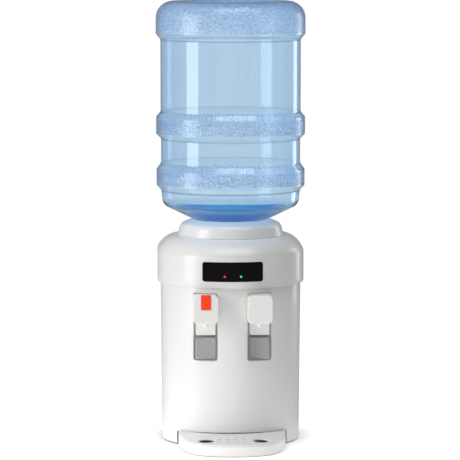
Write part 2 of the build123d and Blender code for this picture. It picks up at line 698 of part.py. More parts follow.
with BuildPart() as drip_tray:
    add(tray_form.part)
    add(tray_low_form, mode=Mode.INTERSECT)
    add(basin.part, mode=Mode.SUBTRACT)
    # sliding tongue that runs on the base plate
    with BuildSketch(Plane.XY.offset(5.4)):
        with Locations((0, -95)):
            Rectangle(150, 80)
        Circle(CAB_R_BOTTOM + 2.4, mode=Mode.INTERSECT)
    extrude(amount=3.0)
write(drip_tray.part, "drip_tray")

with BuildPart() as rim:
    extrude(tray_plan(16.5, 2.8), amount=30)
    Cylinder(CAB_R_BOTTOM + 4.0, 60, align=(Align.CENTER, Align.CENTER, Align.MIN), mode=Mode.SUBTRACT)
    add(tray_top_form, mode=Mode.INTERSECT)

with BuildPart() as rim_core:
    extrude(tray_plan(10, 4.4), amount=40)
    Cylinder(CAB_R_BOTTOM + 5.6, 60, align=(Align.CENTER, Align.CENTER, Align.MIN), mode=Mode.SUBTRACT)
    add(tray_low_form, mode=Mode.INTERSECT)

with BuildPart() as drip_tray_cover:
    add(tray_form.part)
    add(tray_seam_form, mode=Mode.SUBTRACT)
    # locating rim inside the basin
    add(rim.part)
    add(rim_core.part, mode=Mode.SUBTRACT)
    # through holes under the taps
    with Locations((-TAP_X, TRAY_HOLE_Y, 0), (TAP_X, TRAY_HOLE_Y, 0)):
        Cylinder(TRAY_HOLE_R, 80, mode=Mode.SUBTRACT)
    # shallow dimples between them
    with BuildSketch(Plane(origin=(0, TRAY_HOLE_Y, 24.0), x_dir=(1, 0, 0), z_dir=(0, -sin(radians(TILT)), cos(radians(TILT))))):
        with GridLocations(14.5, 1, 4, 1):
            RectangleRounded(8.6, 24, 2.0)
    extrude(amount=-0.9, mode=Mode.SUBTRACT)
write(drip_tray_cover.part, "drip_tray_cover")

# ----------------------------------------------------------------------------
# cold tank, its insulation and the thermoelectric cooler
# ----------------------------------------------------------------------------
COLD_OUT = (24.0, -12.0)
FEED_OUT = (-22.0, 20.0)
VENT_OUT = (20.0, 30.0)
COLD_PORTS = [COLD_OUT, FEED_OUT, VENT_OUT]

with BuildPart() as cold_tank:
    with BuildSketch(Plane.XY.offset(COLD_Z0)):
        Circle(COLD_R)
    extrude(amount=COLD_Z1 - COLD_Z0)
    fillet(cold_tank.faces().sort_by(Axis.Z)[0].edges(), 3.5)
    with BuildSketch(Plane.XY.offset(COLD_Z0 + 1.5)):
        Circle(COLD_R - 1.5)
    extrude(amount=COLD_Z1 - COLD_Z0, mode=Mode.SUBTRACT)
    with Locations(*[(x, y, COLD_Z0 - 26) for x, y in COLD_PORTS]):
        Cylinder(4.0, 27, align=(Align.CENTER, Align.CENTER, Align.MIN))
    with Locations(*[(x, y, COLD_Z0 - 27) for x, y in COLD_PORTS]):
        Cylinder(2.8, 30, align=(Align.CENTER, Align.CENTER, Align.MIN), mode=Mode.SUBTRACT)
write(cold_tank.part, "cold_tank")

with BuildPart() as cold_tank_lid:
    with Locations((0, 0, COLD_Z1 + 0.1)):
        Cylinder(COLD_R + 3, 4, align=(Align.CENTER, Align.CENTER, Align.MIN))
        Cylinder(14.2, 5, align=(Align.CENTER, Align.CENTER, Align.MIN), mode=Mode.SUBTRACT)
write(cold_tank_lid.part, "cold_tank_lid")

with BuildPart() as separator_disc:
    with BuildSketch(Plane.XY.offset(262)):
        Circle(COLD_R - 1.6)
        Circle(7, mode=Mode.SUBTRACT)
        with PolarLocations(26, 8):
            Circle(3, mode=Mode.SUBTRACT)
    extrude(amount=2)
write(separator_disc.part, "separator_disc")

with BuildPart() as cold_plate:
    with BuildSketch(Plane.XY.offset(FAN_Z - 20)):
        with Locations((0, 46)):
            Rectangle(40, 32)
        Circle(COLD_R + 0.05, mode=Mode.SUBTRACT)
    extrude(amount=40)
write(cold_plate.part, "cold_plate")

with BuildPart() as peltier_module:
    with Locations((0, 64, FAN_Z)):
        Box(40, 3.9, 40)
write(peltier_module.part, "peltier_module")

with BuildPart() as heat_sink:
    with BuildSketch(Plane.XY.offset(FAN_Z - 40)):
        with Locations((0, 68.5)):
            Rectangle(80, 5)
        with Locations((0, 79)):
            with GridLocations(5.2, 0, 16, 1):
                Rectangle(1.2, 18)
    extrude(amount=80)
write(heat_sink.part, "heat_sink")

with BuildPart() as fan_frame:
    with BuildSketch(Plane.XZ.offset(-88.4)):
        with Locations((0, FAN_Z)):
            RectangleRounded(80, 80, 4)
            Circle(37.5, mode=Mode.SUBTRACT)
            with GridLocations(2 * FAN_HOLES, 2 * FAN_HOLES, 2, 2):
                Circle(1.8, mode=Mode.SUBTRACT)
    extrude(amount=-12)
    # hub carrier and its three struts
    with BuildSketch(Plane.XZ.offset(-98.4)):
        with Locations((0, FAN_Z)):
            Circle(14)
            with PolarLocations(26, 3, start_angle=90):
                Rectangle(25, 4)
    extrude(amount=-2)
    with BuildSketch(Plane.XZ.offset(-92)):
        with Locations((0, FAN_Z)):
            Circle(2.45)
    extrude(amount=-7)
write(fan_frame.part, "fan_frame")

with BuildPart() as fan_rotor:
    with BuildSketch(Plane.XZ.offset(-89)):
        with Locations((0, FAN_Z)):
            Circle(13)
    extrude(amount=-8.8)
    # seven raked blades
    for k in range(7):
        a = 2 * pi * k / 7
        blade = Plane(origin=(12 * cos(a), 93.4, FAN_Z + 12 * sin(a)), x_dir=(sin(a) * -0.9, 0.42, cos(a) * 0.9), z_dir=(cos(a), 0, sin(a)))
        with BuildSketch(blade):
            Rectangle(17, 1.1)
        extrude(amount=24)
    with BuildSketch(Plane.XZ.offset(-91)):
        with Locations((0, FAN_Z)):
            Circle(2.5)
    extrude(amount=-10, mode=Mode.SUBTRACT)
write(fan_rotor.part, "fan_rotor")

# foam insulation in two halves, closed around the tank
with BuildPart() as tank_insulation:
    with BuildSketch(Plane.XY.offset(174)):
        Circle(56)
        Rectangle(0.4, 130, mode=Mode.SUBTRACT)
    extrude(amount=126)
    with Locations((0, 0, COLD_Z0 - 0.2)):
        Cylinder(COLD_R + 0.2, 120, align=(Align.CENTER, Align.CENTER, Align.MIN), mode=Mode.SUBTRACT)
    with Locations(*[(x, y, 170) for x, y in COLD_PORTS]):
        Cylinder(6.6, 20, align=(Align.CENTER, Align.CENTER, Align.MIN), mode=Mode.SUBTRACT)
    with Locations((0, 50, FAN_Z)):
        Box(40.6, 40, 40.6, mode=Mode.SUBTRACT)
write(tank_insulation.part, "tank_insulation")

# ----------------------------------------------------------------------------
# hot tank with its heater, thermostats, jacket and stand
# ----------------------------------------------------------------------------
HOT_OUT = (-24.0, -12.0)
HOT_IN = FEED_OUT
DRAIN_OUT = (DRAIN_X, DRAIN_Y)

with BuildPart() as hot_tank:
    with Locations((0, HOT_Y, HOT_Z0)):
        Cylinder(HOT_R, HOT_Z1 - HOT_Z0, align=(Align.CENTER, Align.CENTER, Align.MIN))
    fillet(hot_tank.faces().filter_by(GeomType.PLANE).edges(), 2.8)
    with Locations((0, HOT_Y, HOT_Z0 + 1.2)):
        Cylinder(HOT_R - 1.2, HOT_Z1 - HOT_Z0 - 2.4, align=(Align.CENTER, Align.CENTER, Align.MIN), mode=Mode.SUBTRACT)
    with Locations((HOT_OUT[0], HOT_OUT[1], HOT_Z1 - 1), (VENT_OUT[0], VENT_OUT[1], HOT_Z1 - 1)):
        Cylinder(4.0, 9, align=(Align.CENTER, Align.CENTER, Align.MIN))
    with Locations((HOT_IN[0], HOT_IN[1], HOT_Z0 - 7), (DRAIN_OUT[0], DRAIN_OUT[1], HOT_Z0 - 7)):
        Cylinder(4.0, 8, align=(Align.CENTER, Align.CENTER, Align.MIN))
    with Locations((HOT_OUT[0], HOT_OUT[1], HOT_Z1 - 3), (VENT_OUT[0], VENT_OUT[1], HOT_Z1 - 3), (HOT_IN[0], HOT_IN[1], HOT_Z0 - 8), (DRAIN_OUT[0], DRAIN_OUT[1], HOT_Z0 - 8)):
        Cylinder(2.8, 12, align=(Align.CENTER, Align.CENTER, Align.MIN), mode=Mode.SUBTRACT)
write(hot_tank.part, "hot_tank")

with BuildPart() as heater_band:
    with BuildSketch(Plane.XY.offset(56)):
        with Locations((0, HOT_Y)):
            Circle(HOT_R + 2.6)
            Circle(HOT_R + 0.05, mode=Mode.SUBTRACT)
        with Locations((HOT_R, HOT_Y)):
            Rectangle(8, 3, mode=Mode.SUBTRACT)
    extrude(amount=26)
write(heater_band.part, "heater_band")

with BuildPart() as hot_tank_jacket:
    with BuildSketch(Plane.XY.offset(84)):
        with Locations((0, HOT_Y)):
            Circle(HOT_R + 7)
            Circle(HOT_R + 0.15, mode=Mode.SUBTRACT)
    extrude(amount=38)
write(hot_tank_jacket.part, "hot_tank_jacket")

with BuildPart() as thermostats:
    with Locations((-4, 6, HOT_Z1 + 0.05), (-10, 36, HOT_Z1 + 0.05)):
        Cylinder(8.5, 5, align=(Align.CENTER, Align.CENTER, Align.MIN))
        Cylinder(6.0, 9, align=(Align.CENTER, Align.CENTER, Align.MIN))
write(thermostats.part, "thermostats")

with BuildPart() as hot_tank_stand:
    with BuildSketch(Plane.XY.offset(HOT_Z0 - 2.9)):
        with Locations((0, HOT_Y)):
            Circle(43)
            Circle(35, mode=Mode.SUBTRACT)
    extrude(amount=2.8)
    with BuildSketch(Plane.XY.offset(5.2)):
        for a in (270, 30, 150):
            with Locations((39 * cos(radians(a)), HOT_Y + 39 * sin(radians(a)))):
                Circle(4)
    extrude(amount=HOT_Z0 - 7.5)
write(hot_tank_stand.part, "hot_tank_stand")

# ----------------------------------------------------------------------------
# hoses
# ----------------------------------------------------------------------------
HOSE_R, HOSE_BORE = 6.0, 4.25
write(hose([(COLD_OUT[0], COLD_OUT[1], 172), (COLD_OUT[0], COLD_OUT[1], 146), (TAP_X, -43, 146), (TAP_X, -43, SHANK_Z), (TAP_X, -60, SHANK_Z)], [10, 10, 8.5], HOSE_R, HOSE_BORE), "cold_water_hose")
write(hose([(HOT_OUT[0], HOT_OUT[1], 129.5), (HOT_OUT[0], HOT_OUT[1], 146), (-TAP_X, -43, 146), (-TAP_X, -43, SHANK_Z), (-TAP_X, -60, SHANK_Z)], [9, 10, 8.5], HOSE_R, HOSE_BORE), "hot_water_hose")
write(hose([(FEED_OUT[0], FEED_OUT[1], 172), (FEED_OUT[0], FEED_OUT[1], 151), (-64, 20, 151), (-64, 20, 21), (FEED_OUT[0], 20, 21), (FEED_OUT[0], 20, 40.5)], [11, 11, 11, 11], HOSE_R, HOSE_BORE), "feed_hose")
write(hose([(DRAIN_OUT[0], DRAIN_OUT[1], 40.5), (DRAIN_OUT[0], DRAIN_OUT[1], DRAIN_Z), (DRAIN_X, 92, DRAIN_Z)], [11], HOSE_R, HOSE_BORE), "drain_hose")
with BuildPart() as vent_hose:
    with BuildSketch(Plane.XY.offset(130)):
        with Locations(VENT_OUT):
            Circle(HOSE_R)
            Circle(HOSE_BORE, mode=Mode.SUBTRACT)
    extrude(amount=42)
write(vent_hose.part, "vent_hose")

with BuildPart() as drain_fitting:
    with BuildSketch(Plane.XZ.offset(-84)):
        with Locations((DRAIN_X, DRAIN_Z)):
            Circle(4.1)
    extrude(amount=-12)
    with BuildSketch(Plane.XZ.offset(-93)):
        with Locations((DRAIN_X, DRAIN_Z)):
            Circle(10)
    extrude(amount=-(CAB_BACK - WALL - 93))
    with BuildSketch(Plane.XZ.offset(-95)):
        with Locations((DRAIN_X, DRAIN_Z)):
            Circle(7.2)
    extrude(amount=-22)
    with BuildSketch(Plane.XZ.offset(-80)):
        with Locations((DRAIN_X, DRAIN_Z)):
            Circle(2.6)
    extrude(amount=-40, mode=Mode.SUBTRACT)
write(drain_fitting.part, "drain_fitting")

with BuildPart() as drain_plug:
    with BuildSketch(Plane.XZ.offset(-(CAB_BACK + 0.3))):
        with Locations((DRAIN_X, DRAIN_Z)):
            Circle(10)
    extrude(amount=-14.5)
    fillet(drain_plug.faces().sort_by(Axis.Y)[-1].edges(), 1.5)
    with BuildSketch(Plane.XZ.offset(-(CAB_BACK + 0.3))):
        with Locations((DRAIN_X, DRAIN_Z)):
            Circle(7.5)
    extrude(amount=-12.7, mode=Mode.SUBTRACT)
    with BuildSketch(Plane.XZ.offset(-(CAB_BACK - 1))):
        with Locations((DRAIN_X, DRAIN_Z)):
            with PolarLocations(10.6, 14):
                Circle(1.0)
    extrude(amount=-20, mode=Mode.SUBTRACT)
write(drain_plug.part, "drain_plug")

# ----------------------------------------------------------------------------
# electrics at the back
# ----------------------------------------------------------------------------
PANEL_FACE = CAB_BACK + 2.2
SWITCHES = (("heating", -42), ("cooling", -20))
SWITCH_Z = 76.0
SWITCH_SPOTS = [(x, SWITCH_Z) for _, x in SWITCHES]
with BuildPart() as switch_housings:
    with BuildSketch(Plane.XZ.offset(-PANEL_FACE)):
        with Locations(*SWITCH_SPOTS):
            RectangleRounded(16, 22, 1.2)
            Rectangle(11.4, 17.4, mode=Mode.SUBTRACT)
    extrude(amount=-1.6)
    with BuildSketch(Plane.XZ.offset(-(PANEL_FACE - 16))):
        with Locations(*SWITCH_SPOTS):
            Rectangle(13.2, 19.2)
            Rectangle(11.4, 17.4, mode=Mode.SUBTRACT)
    extrude(amount=-16)
    with BuildSketch(Plane.XZ.offset(-(PANEL_FACE - 17.5))):
        with Locations(*SWITCH_SPOTS):
            Rectangle(13.2, 19.2)
    extrude(amount=-1.6)
    with BuildSketch(Plane.YZ.offset(-60)):
        with Locations((PANEL_FACE - 3.0, SWITCH_Z)):
            Circle(1.25)
    extrude(amount=60, mode=Mode.SUBTRACT)
write(switch_housings.part, "switch_housings")

for name, x in SWITCHES:
    y0, z0 = PANEL_FACE, SWITCH_Z
    with BuildPart() as rocker:
        with BuildSketch(Plane.YZ.offset(x - 5.3)):
            with BuildLine():
                Polyline(
                    (y0 - 6.5, z0 - 3.5), (y0 - 1.0, z0 - 7.8), (y0 + 1.7, z0 - 8.0), (y0 + 1.7, z0),
                    (y0 + 3.9, z0 + 6.6), (y0 + 1.0, z0 + 7.4), (y0 - 6.5, z0 + 3.5), (y0 - 6.5, z0 - 3.5),
                )
            make_face()
        extrude(amount=10.6)
        with BuildSketch(Plane.YZ.offset(x - 6.4)):
            with Locations((y0 - 3.0, z0)):
                Circle(1.2)
        extrude(amount=12.8)
    write(rocker.part, f"{name}_rocker")

with BuildPart() as mains_inlet:
    with BuildSketch(Plane.XZ.offset(-PANEL_FACE)):
        with Locations((28, 76)):
            RectangleRounded(31, 25, 2)
    extrude(amount=-2.4)
    with BuildSketch(Plane.XZ.offset(-(PANEL_FACE - 20))):
        with Locations((28, 76)):
            RectangleRounded(27, 20, 2)
    extrude(amount=-20)
    with BuildSketch(Plane.XZ.offset(-(PANEL_FACE - 14))):
        with Locations((28, 76)):
            RectangleRounded(23.2, 16.2, 2)
    extrude(amount=-20, mode=Mode.SUBTRACT)
    # three contact blades
    with BuildSketch(Plane.XZ.offset(-(PANEL_FACE - 24))):
        with Locations((28, 79), (21, 74), (35, 74)):
            Rectangle(2, 4.2)
    extrude(amount=-22)
write(mains_inlet.part, "mains_inlet")

with BuildPart() as power_board:
    with Locations((92, 23, 75)):
        Box(1.6, 76, 92)
    with Locations((82.2, 40, 86)):
        Box(18, 26, 24)
    with Locations(*[Plane(origin=(91.2, y, z), z_dir=(-1, 0, 0)) for y, z in ((8, 102), (8, 84), (22, 108))]):
        Cylinder(5.5, 15, align=(Align.CENTER, Align.CENTER, Align.MIN))
    with Locations((86.2, 4, 50)):
        Box(10, 18, 24)
write(power_board.part, "power_board")
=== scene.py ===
"""Looks of the countertop water dispenser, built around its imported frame.

Metres in Blender; the mesh code below works in millimetres and scales at the
end.  Front is -Y, +X to the right, +Z up, origin on the bottle's axis.
"""

import json
from math import acos, asin, atan2, cos, hypot, pi, radians, sin, sqrt, tan

import bmesh
import bpy
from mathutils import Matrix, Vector, noise
from mathutils.geometry import delaunay_2d_cdt


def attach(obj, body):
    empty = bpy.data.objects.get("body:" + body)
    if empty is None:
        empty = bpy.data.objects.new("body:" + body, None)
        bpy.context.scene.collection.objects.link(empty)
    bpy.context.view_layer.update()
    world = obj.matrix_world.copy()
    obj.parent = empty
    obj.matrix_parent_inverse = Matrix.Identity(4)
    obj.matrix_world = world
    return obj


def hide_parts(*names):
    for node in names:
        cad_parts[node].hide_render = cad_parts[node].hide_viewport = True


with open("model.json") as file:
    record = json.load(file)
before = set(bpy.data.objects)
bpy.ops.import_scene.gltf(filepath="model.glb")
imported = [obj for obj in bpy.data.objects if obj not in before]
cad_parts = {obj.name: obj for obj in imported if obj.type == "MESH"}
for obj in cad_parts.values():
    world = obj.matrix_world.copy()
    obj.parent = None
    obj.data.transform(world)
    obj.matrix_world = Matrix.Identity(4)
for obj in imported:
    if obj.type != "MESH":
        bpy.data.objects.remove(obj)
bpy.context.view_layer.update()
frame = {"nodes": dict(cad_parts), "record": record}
NODES = frame["nodes"]
scene = bpy.context.scene
scene.view_settings.view_transform = "Standard"

# ----------------------------------------------------------------------------
# mesh helpers
# ----------------------------------------------------------------------------


class Skin:
    """Collects points and faces in millimetres and makes one welded mesh of them."""

    def __init__(self):
        self.v, self.f = [], []

    def points(self, pts):
        start = len(self.v)
        self.v.extend(tuple(p) for p in pts)
        return list(range(start, len(self.v)))

    def strip(self, rows, closed=True):
        """Quads between rows of equally many points."""
        ids = [self.points(r) for r in rows]
        n = len(rows[0])
        for a, b in zip(ids, ids[1:]):
            for i in range(n if closed else n - 1):
                j = (i + 1) % n
                self.f.append((a[i], a[j], b[j], b[i]))

    def fan(self, loop, centre):
        ids = self.points(loop)
        (c,) = self.points([centre])
        for i in range(len(ids)):
            self.f.append((ids[i], ids[(i + 1) % len(ids)], c))

    def patch(self, outer, holes, inside, place):
        """Triangles over a flat region with holes, each corner put in space by place(x, y)."""
        pts = list(outer)
        edges = [(i, (i + 1) % len(outer)) for i in range(len(outer))]
        for hole in holes:
            s = len(pts)
            pts.extend(hole)
            edges.extend((s + i, s + (i + 1) % len(hole)) for i in range(len(hole)))
        pts.extend(inside)
        co, _, tris, *_ = delaunay_2d_cdt([Vector(p) for p in pts], edges, [], 0, 1e-5)
        ids = self.points(place(c[0], c[1]) for c in co)
        for t in tris:
            cx = sum(co[i][0] for i in t) / len(t)
            cy = sum(co[i][1] for i in t) / len(t)
            if inside_loop(cx, cy, outer) and not any(inside_loop(cx, cy, h) for h in holes):
                self.f.append(tuple(ids[i] for i in t))

    def make(self, name, material, body, *stands_for, crease=35.0, slot=None):
        mesh = bpy.data.meshes.new(name)
        mesh.from_pydata([(x * 1e-3, y * 1e-3, z * 1e-3) for x, y, z in self.v], [], self.f)
        bm = bmesh.new()
        bm.from_mesh(mesh)
        bmesh.ops.remove_doubles(bm, verts=bm.verts, dist=1.5e-5)
        bmesh.ops.dissolve_degenerate(bm, dist=2e-6, edges=bm.edges)
        bmesh.ops.recalc_face_normals(bm, faces=bm.faces)
        bm.to_mesh(mesh)
        bm.free()
        mesh.shade_smooth()
        mesh.set_sharp_from_angle(angle=radians(crease))
        mesh.materials.append(material)
        piece = bpy.data.objects.new(name, mesh)
        scene.collection.objects.link(piece)
        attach(piece, body)
        if stands_for:
            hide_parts(*stands_for)
        return piece


def inside_loop(x, y, loop):
    hit = False
    px, py = loop[-1]
    for qx, qy in loop:
        if (qy > y) != (py > y) and x < (px - qx) * (y - qy) / (py - qy) + qx:
            hit = not hit
        px, py = qx, qy
    return hit


def soften(points, closed=False, steps=7):
    """Rounds the corners (x, y, radius) of a polyline."""
    out, n = [], len(points)
    for i, p in enumerate(points):
        x, y = p[0], p[1]
        r = p[2] if len(p) > 2 else 0.0
        if r <= 0 or (not closed and i in (0, n - 1)):
            out.append((x, y))
            continue
        ax, ay = points[i - 1][:2]
        bx, by = points[(i + 1) % n][:2]
        lu, lv = hypot(ax - x, ay - y), hypot(bx - x, by - y)
        ux, uy, vx, vy = (ax - x) / lu, (ay - y) / lu, (bx - x) / lv, (by - y) / lv
        half = acos(max(-1.0, min(1.0, ux * vx + uy * vy))) / 2
        t = min(r / tan(half), 0.92 * lu, 0.92 * lv)
        r = t * tan(half)
        mx, my = ux + vx, uy + vy
        lm, d = hypot(mx, my), r / sin(half)
        cx, cy = x + mx / lm * d, y + my / lm * d
        a0 = atan2(y + uy * t - cy, x + ux * t - cx)
        a1 = atan2(y + vy * t - cy, x + vx * t - cx)
        da = (a1 - a0 + pi) % (2 * pi) - pi
        out.extend((cx + r * cos(a0 + da * k / steps), cy + r * sin(a0 + da * k / steps)) for k in range(steps + 1))
    return out


def dense(points, step, closed=False):
    """Adds points so that no run is longer than step (a number, or a function of the run's middle)."""
    out, n = [], len(points)
    for i in range(n if closed else n - 1):
        a, b = points[i], points[(i + 1) % n]
        mid = ((a[0] + b[0]) / 2, (a[1] + b[1]) / 2)
        s = step(*mid) if callable(step) else step
        k = max(1, int(-(-hypot(b[0] - a[0], b[1] - a[1]) // s)))
        out.extend((a[0] + (b[0] - a[0]) * j / k, a[1] + (b[1] - a[1]) * j / k) for j in range(k))
    if not closed:
        out.append(points[-1])
    return out


def grow(loop, e, closed=True):
    """Moves each point of a counter-clockwise loop outwards by e, or an open line to its right."""
    out, n = [], len(loop)
    for i in range(n):
        p = loop[i]
        a = loop[i - 1] if (closed or i > 0) else p
        b = loop[(i + 1) % n] if (closed or i < n - 1) else p
        d1 = (p[0] - a[0], p[1] - a[1])
        d2 = (b[0] - p[0], b[1] - p[1])
        l1, l2 = hypot(*d1), hypot(*d2)
        n1 = (d1[1] / l1, -d1[0] / l1) if l1 > 1e-9 else None
        n2 = (d2[1] / l2, -d2[0] / l2) if l2 > 1e-9 else None
        n1, n2 = n1 or n2, n2 or n1
        mx, my = n1[0] + n2[0], n1[1] + n2[1]
        k = 2.0 / max(0.35, mx * mx + my * my)
        out.append((p[0] + mx * e * k, p[1] + my * e * k))
    return out


def rounded_rect(cx, cy, hw, hh, r, steps=7):
    return soften([(cx - hw, cy - hh, r), (cx + hw, cy - hh, r), (cx + hw, cy + hh, r), (cx - hw, cy + hh, r)], True, steps)


def circle(cx, cy, r, n=48):
    return [(cx + r * cos(2 * pi * k / n), cy + r * sin(2 * pi * k / n)) for k in range(n)]


def grid(x0, x1, y0, y1, sx, sy):
    nx, ny = max(1, round((x1 - x0) / sx)), max(1, round((y1 - y0) / sy))
    return [(x0 + (x1 - x0) * i / nx, y0 + (y1 - y0) * j / ny) for i in range(1, nx) for j in range(1, ny)]


def clear_of(pts, loops, gap):
    """Points no nearer than gap to any of the loops."""
    near = [p for loop in loops for p in loop]
    cell = {}
    for p in near:
        cell.setdefault((int(p[0] // gap), int(p[1] // gap)), []).append(p)
    out = []
    for x, y in pts:
        i, j = int(x // gap), int(y // gap)
        if all(hypot(x - q[0], y - q[1]) > gap for a in (-1, 0, 1) for b in (-1, 0, 1) for q in cell.get((i + a, j + b), ())):
            out.append((x, y))
    return out


def lathe_rows(profile, segments):
    ring = [(cos(2 * pi * k / segments - pi / 2), sin(2 * pi * k / segments - pi / 2)) for k in range(segments)]
    return [[(c * r, s * r, z) for c, s in ring] for r, z in profile]


ROLL = [k / 4 * pi / 2 for k in range(5)]


def rim(skin, loop, r, thickness, place, closed=True, sign=1.0):
    """Rolls over the edge of an opening: loop is the nominal opening, place(x, y, depth) puts it in space."""
    rows = [(r - r * sin(a), r * (1 - cos(a))) for a in ROLL]
    rows += [(e, thickness - d) for e, d in reversed(rows)]
    skin.strip([[place(x, y, d) for x, y in grow(loop, sign * e, closed)] for e, d in rows], closed)


# ----------------------------------------------------------------------------
# materials
# ----------------------------------------------------------------------------
def new_material(name):
    m = bpy.data.materials.new(name)
    m.use_nodes = True
    tree = m.node_tree
    return m, tree, tree.nodes["Principled BSDF"]


def add(tree, kind, **values):
    node = tree.nodes.new(kind)
    for key, value in values.items():
        if key in node.inputs:
            node.inputs[key].default_value = value
        else:
            setattr(node, key, value)
    return node


def ramp(tree, source, stops, interpolation="LINEAR"):
    node = tree.nodes.new("ShaderNodeValToRGB")
    node.color_ramp.interpolation = interpolation
    bar = node.color_ramp.elements
    while len(bar) > 1:
        bar.remove(bar[-1])
    for i, (at, colour) in enumerate(stops):
        e = bar[0] if i == 0 else bar.new(at)
        e.position = at
        e.color = (*colour, 1) if len(colour) == 3 else colour
    tree.links.new(source, node.inputs["Fac"])
    return node


def coords(tree, scale=(1, 1, 1)):
    """Object coordinates in metres, with a scale for each direction."""
    c = add(tree, "ShaderNodeTexCoord")
    m = add(tree, "ShaderNodeMapping")
    m.inputs["Scale"].default_value = scale
    tree.links.new(c.outputs["Object"], m.inputs["Vector"])
    return m.outputs["Vector"]


def plastic(name, colour, vary, rough, rough_vary=0.06, grain=900.0, bump=0.02, coat=0.0, cloud=14.0, subsurface=0.0, specular=0.5, inner=0.0):
    """Moulded plastic: clouded tint, grained surface, uneven gloss; inner is a painted glow, the tint emitted so the
    part looks brighter though nothing lights it from inside.
    """
    m, tree, bsdf = new_material(name)
    at = coords(tree)
    big = add(tree, "ShaderNodeTexNoise", Scale=cloud, Detail=4.0, Roughness=0.55)
    tree.links.new(at, big.inputs["Vector"])
    lo = tuple(max(0.0, c * (1 - vary)) for c in colour)
    hi = tuple(min(1.0, c * (1 + vary)) for c in colour)
    tint = ramp(tree, big.outputs["Fac"], [(0.3, lo), (0.7, hi)])
    tree.links.new(tint.outputs["Color"], bsdf.inputs["Base Color"])
    mid = add(tree, "ShaderNodeTexNoise", Scale=cloud * 6, Detail=6.0, Roughness=0.6)
    tree.links.new(at, mid.inputs["Vector"])
    gloss = add(tree, "ShaderNodeMapRange")
    gloss.inputs["From Min"].default_value, gloss.inputs["From Max"].default_value = 0.3, 0.7
    gloss.inputs["To Min"].default_value, gloss.inputs["To Max"].default_value = max(0.02, rough - rough_vary), rough + rough_vary
    tree.links.new(mid.outputs["Fac"], gloss.inputs["Value"])
    tree.links.new(gloss.outputs["Result"], bsdf.inputs["Roughness"])
    fine = add(tree, "ShaderNodeTexNoise", Scale=grain, Detail=3.0, Roughness=0.6)
    tree.links.new(at, fine.inputs["Vector"])
    b = add(tree, "ShaderNodeBump", Strength=bump, Distance=0.0006)
    tree.links.new(fine.outputs["Fac"], b.inputs["Height"])
    tree.links.new(b.outputs["Normal"], bsdf.inputs["Normal"])
    bsdf.inputs["Coat Weight"].default_value = coat
    bsdf.inputs["Coat Roughness"].default_value = 0.06
    bsdf.inputs["Specular IOR Level"].default_value = specular
    # painted glow: the tint is emitted as light
    if inner:
        tree.links.new(tint.outputs["Color"], bsdf.inputs["Emission Color"])
        bsdf.inputs["Emission Strength"].default_value = inner
    if subsurface:
        bsdf.inputs["Subsurface Weight"].default_value = subsurface
        bsdf.inputs["Subsurface Radius"].default_value = (0.004, 0.003, 0.003)
        bsdf.inputs["Subsurface Scale"].default_value = 1.0
    return m


def metal(name, colour, rough, stretch, vary=0.08, bump=0.04):
    """Metal with drawn or rolled lines along one direction."""
    m, tree, bsdf = new_material(name)
    bsdf.inputs["Metallic"].default_value = 1.0
    at = coords(tree, stretch)
    lines = add(tree, "ShaderNodeTexNoise", Scale=260.0, Detail=5.0, Roughness=0.65)
    tree.links.new(at, lines.inputs["Vector"])
    tint = ramp(tree, lines.outputs["Fac"], [(0.3, tuple(c * (1 - vary) for c in colour)), (0.7, tuple(min(1, c * (1 + vary)) for c in colour))])
    tree.links.new(tint.outputs["Color"], bsdf.inputs["Base Color"])
    gloss = add(tree, "ShaderNodeMapRange")
    gloss.inputs["To Min"].default_value, gloss.inputs["To Max"].default_value = rough * 0.7, rough * 1.35
    tree.links.new(lines.outputs["Fac"], gloss.inputs["Value"])
    tree.links.new(gloss.outputs["Result"], bsdf.inputs["Roughness"])
    b = add(tree, "ShaderNodeBump", Strength=bump, Distance=0.0003)
    tree.links.new(lines.outputs["Fac"], b.inputs["Height"])
    tree.links.new(b.outputs["Normal"], bsdf.inputs["Normal"])
    return m


def foam(name, colour):
    """Bead foam: rounded cells with darker seams between them."""
    m, tree, bsdf = new_material(name)
    at = coords(tree)
    cells = add(tree, "ShaderNodeTexVoronoi", Scale=260.0, feature="F1")
    tree.links.new(at, cells.inputs["Vector"])
    tint = ramp(tree, cells.outputs["Distance"], [(0.25, colour), (0.75, tuple(c * 0.72 for c in colour))])
    tree.links.new(tint.outputs["Color"], bsdf.inputs["Base Color"])
    b = add(tree, "ShaderNodeBump", Strength=0.5, Distance=0.0012, invert=True)
    tree.links.new(cells.outputs["Distance"], b.inputs["Height"])
    tree.links.new(b.outputs["Normal"], bsdf.inputs["Normal"])
    bsdf.inputs["Roughness"].default_value = 0.75
    return m


def board(name):
    """Circuit board: green mask with copper tracks shimmering under it."""
    m, tree, bsdf = new_material(name)
    at = coords(tree)
    tracks = add(tree, "ShaderNodeTexBrick", Scale=160.0, **{"Mortar Size": 0.035, "Brick Width": 0.9, "Row Height": 0.35})
    tracks.inputs["Color1"].default_value = (0.012, 0.10, 0.04, 1)
    tracks.inputs["Color2"].default_value = (0.016, 0.13, 0.05, 1)
    tracks.inputs["Mortar"].default_value = (0.05, 0.27, 0.10, 1)
    tree.links.new(at, tracks.inputs["Vector"])
    tree.links.new(tracks.outputs["Color"], bsdf.inputs["Base Color"])
    b = add(tree, "ShaderNodeBump", Strength=0.2, Distance=0.0003)
    tree.links.new(tracks.outputs["Fac"], b.inputs["Height"])
    tree.links.new(b.outputs["Normal"], bsdf.inputs["Normal"])
    bsdf.inputs["Roughness"].default_value = 0.32
    return m


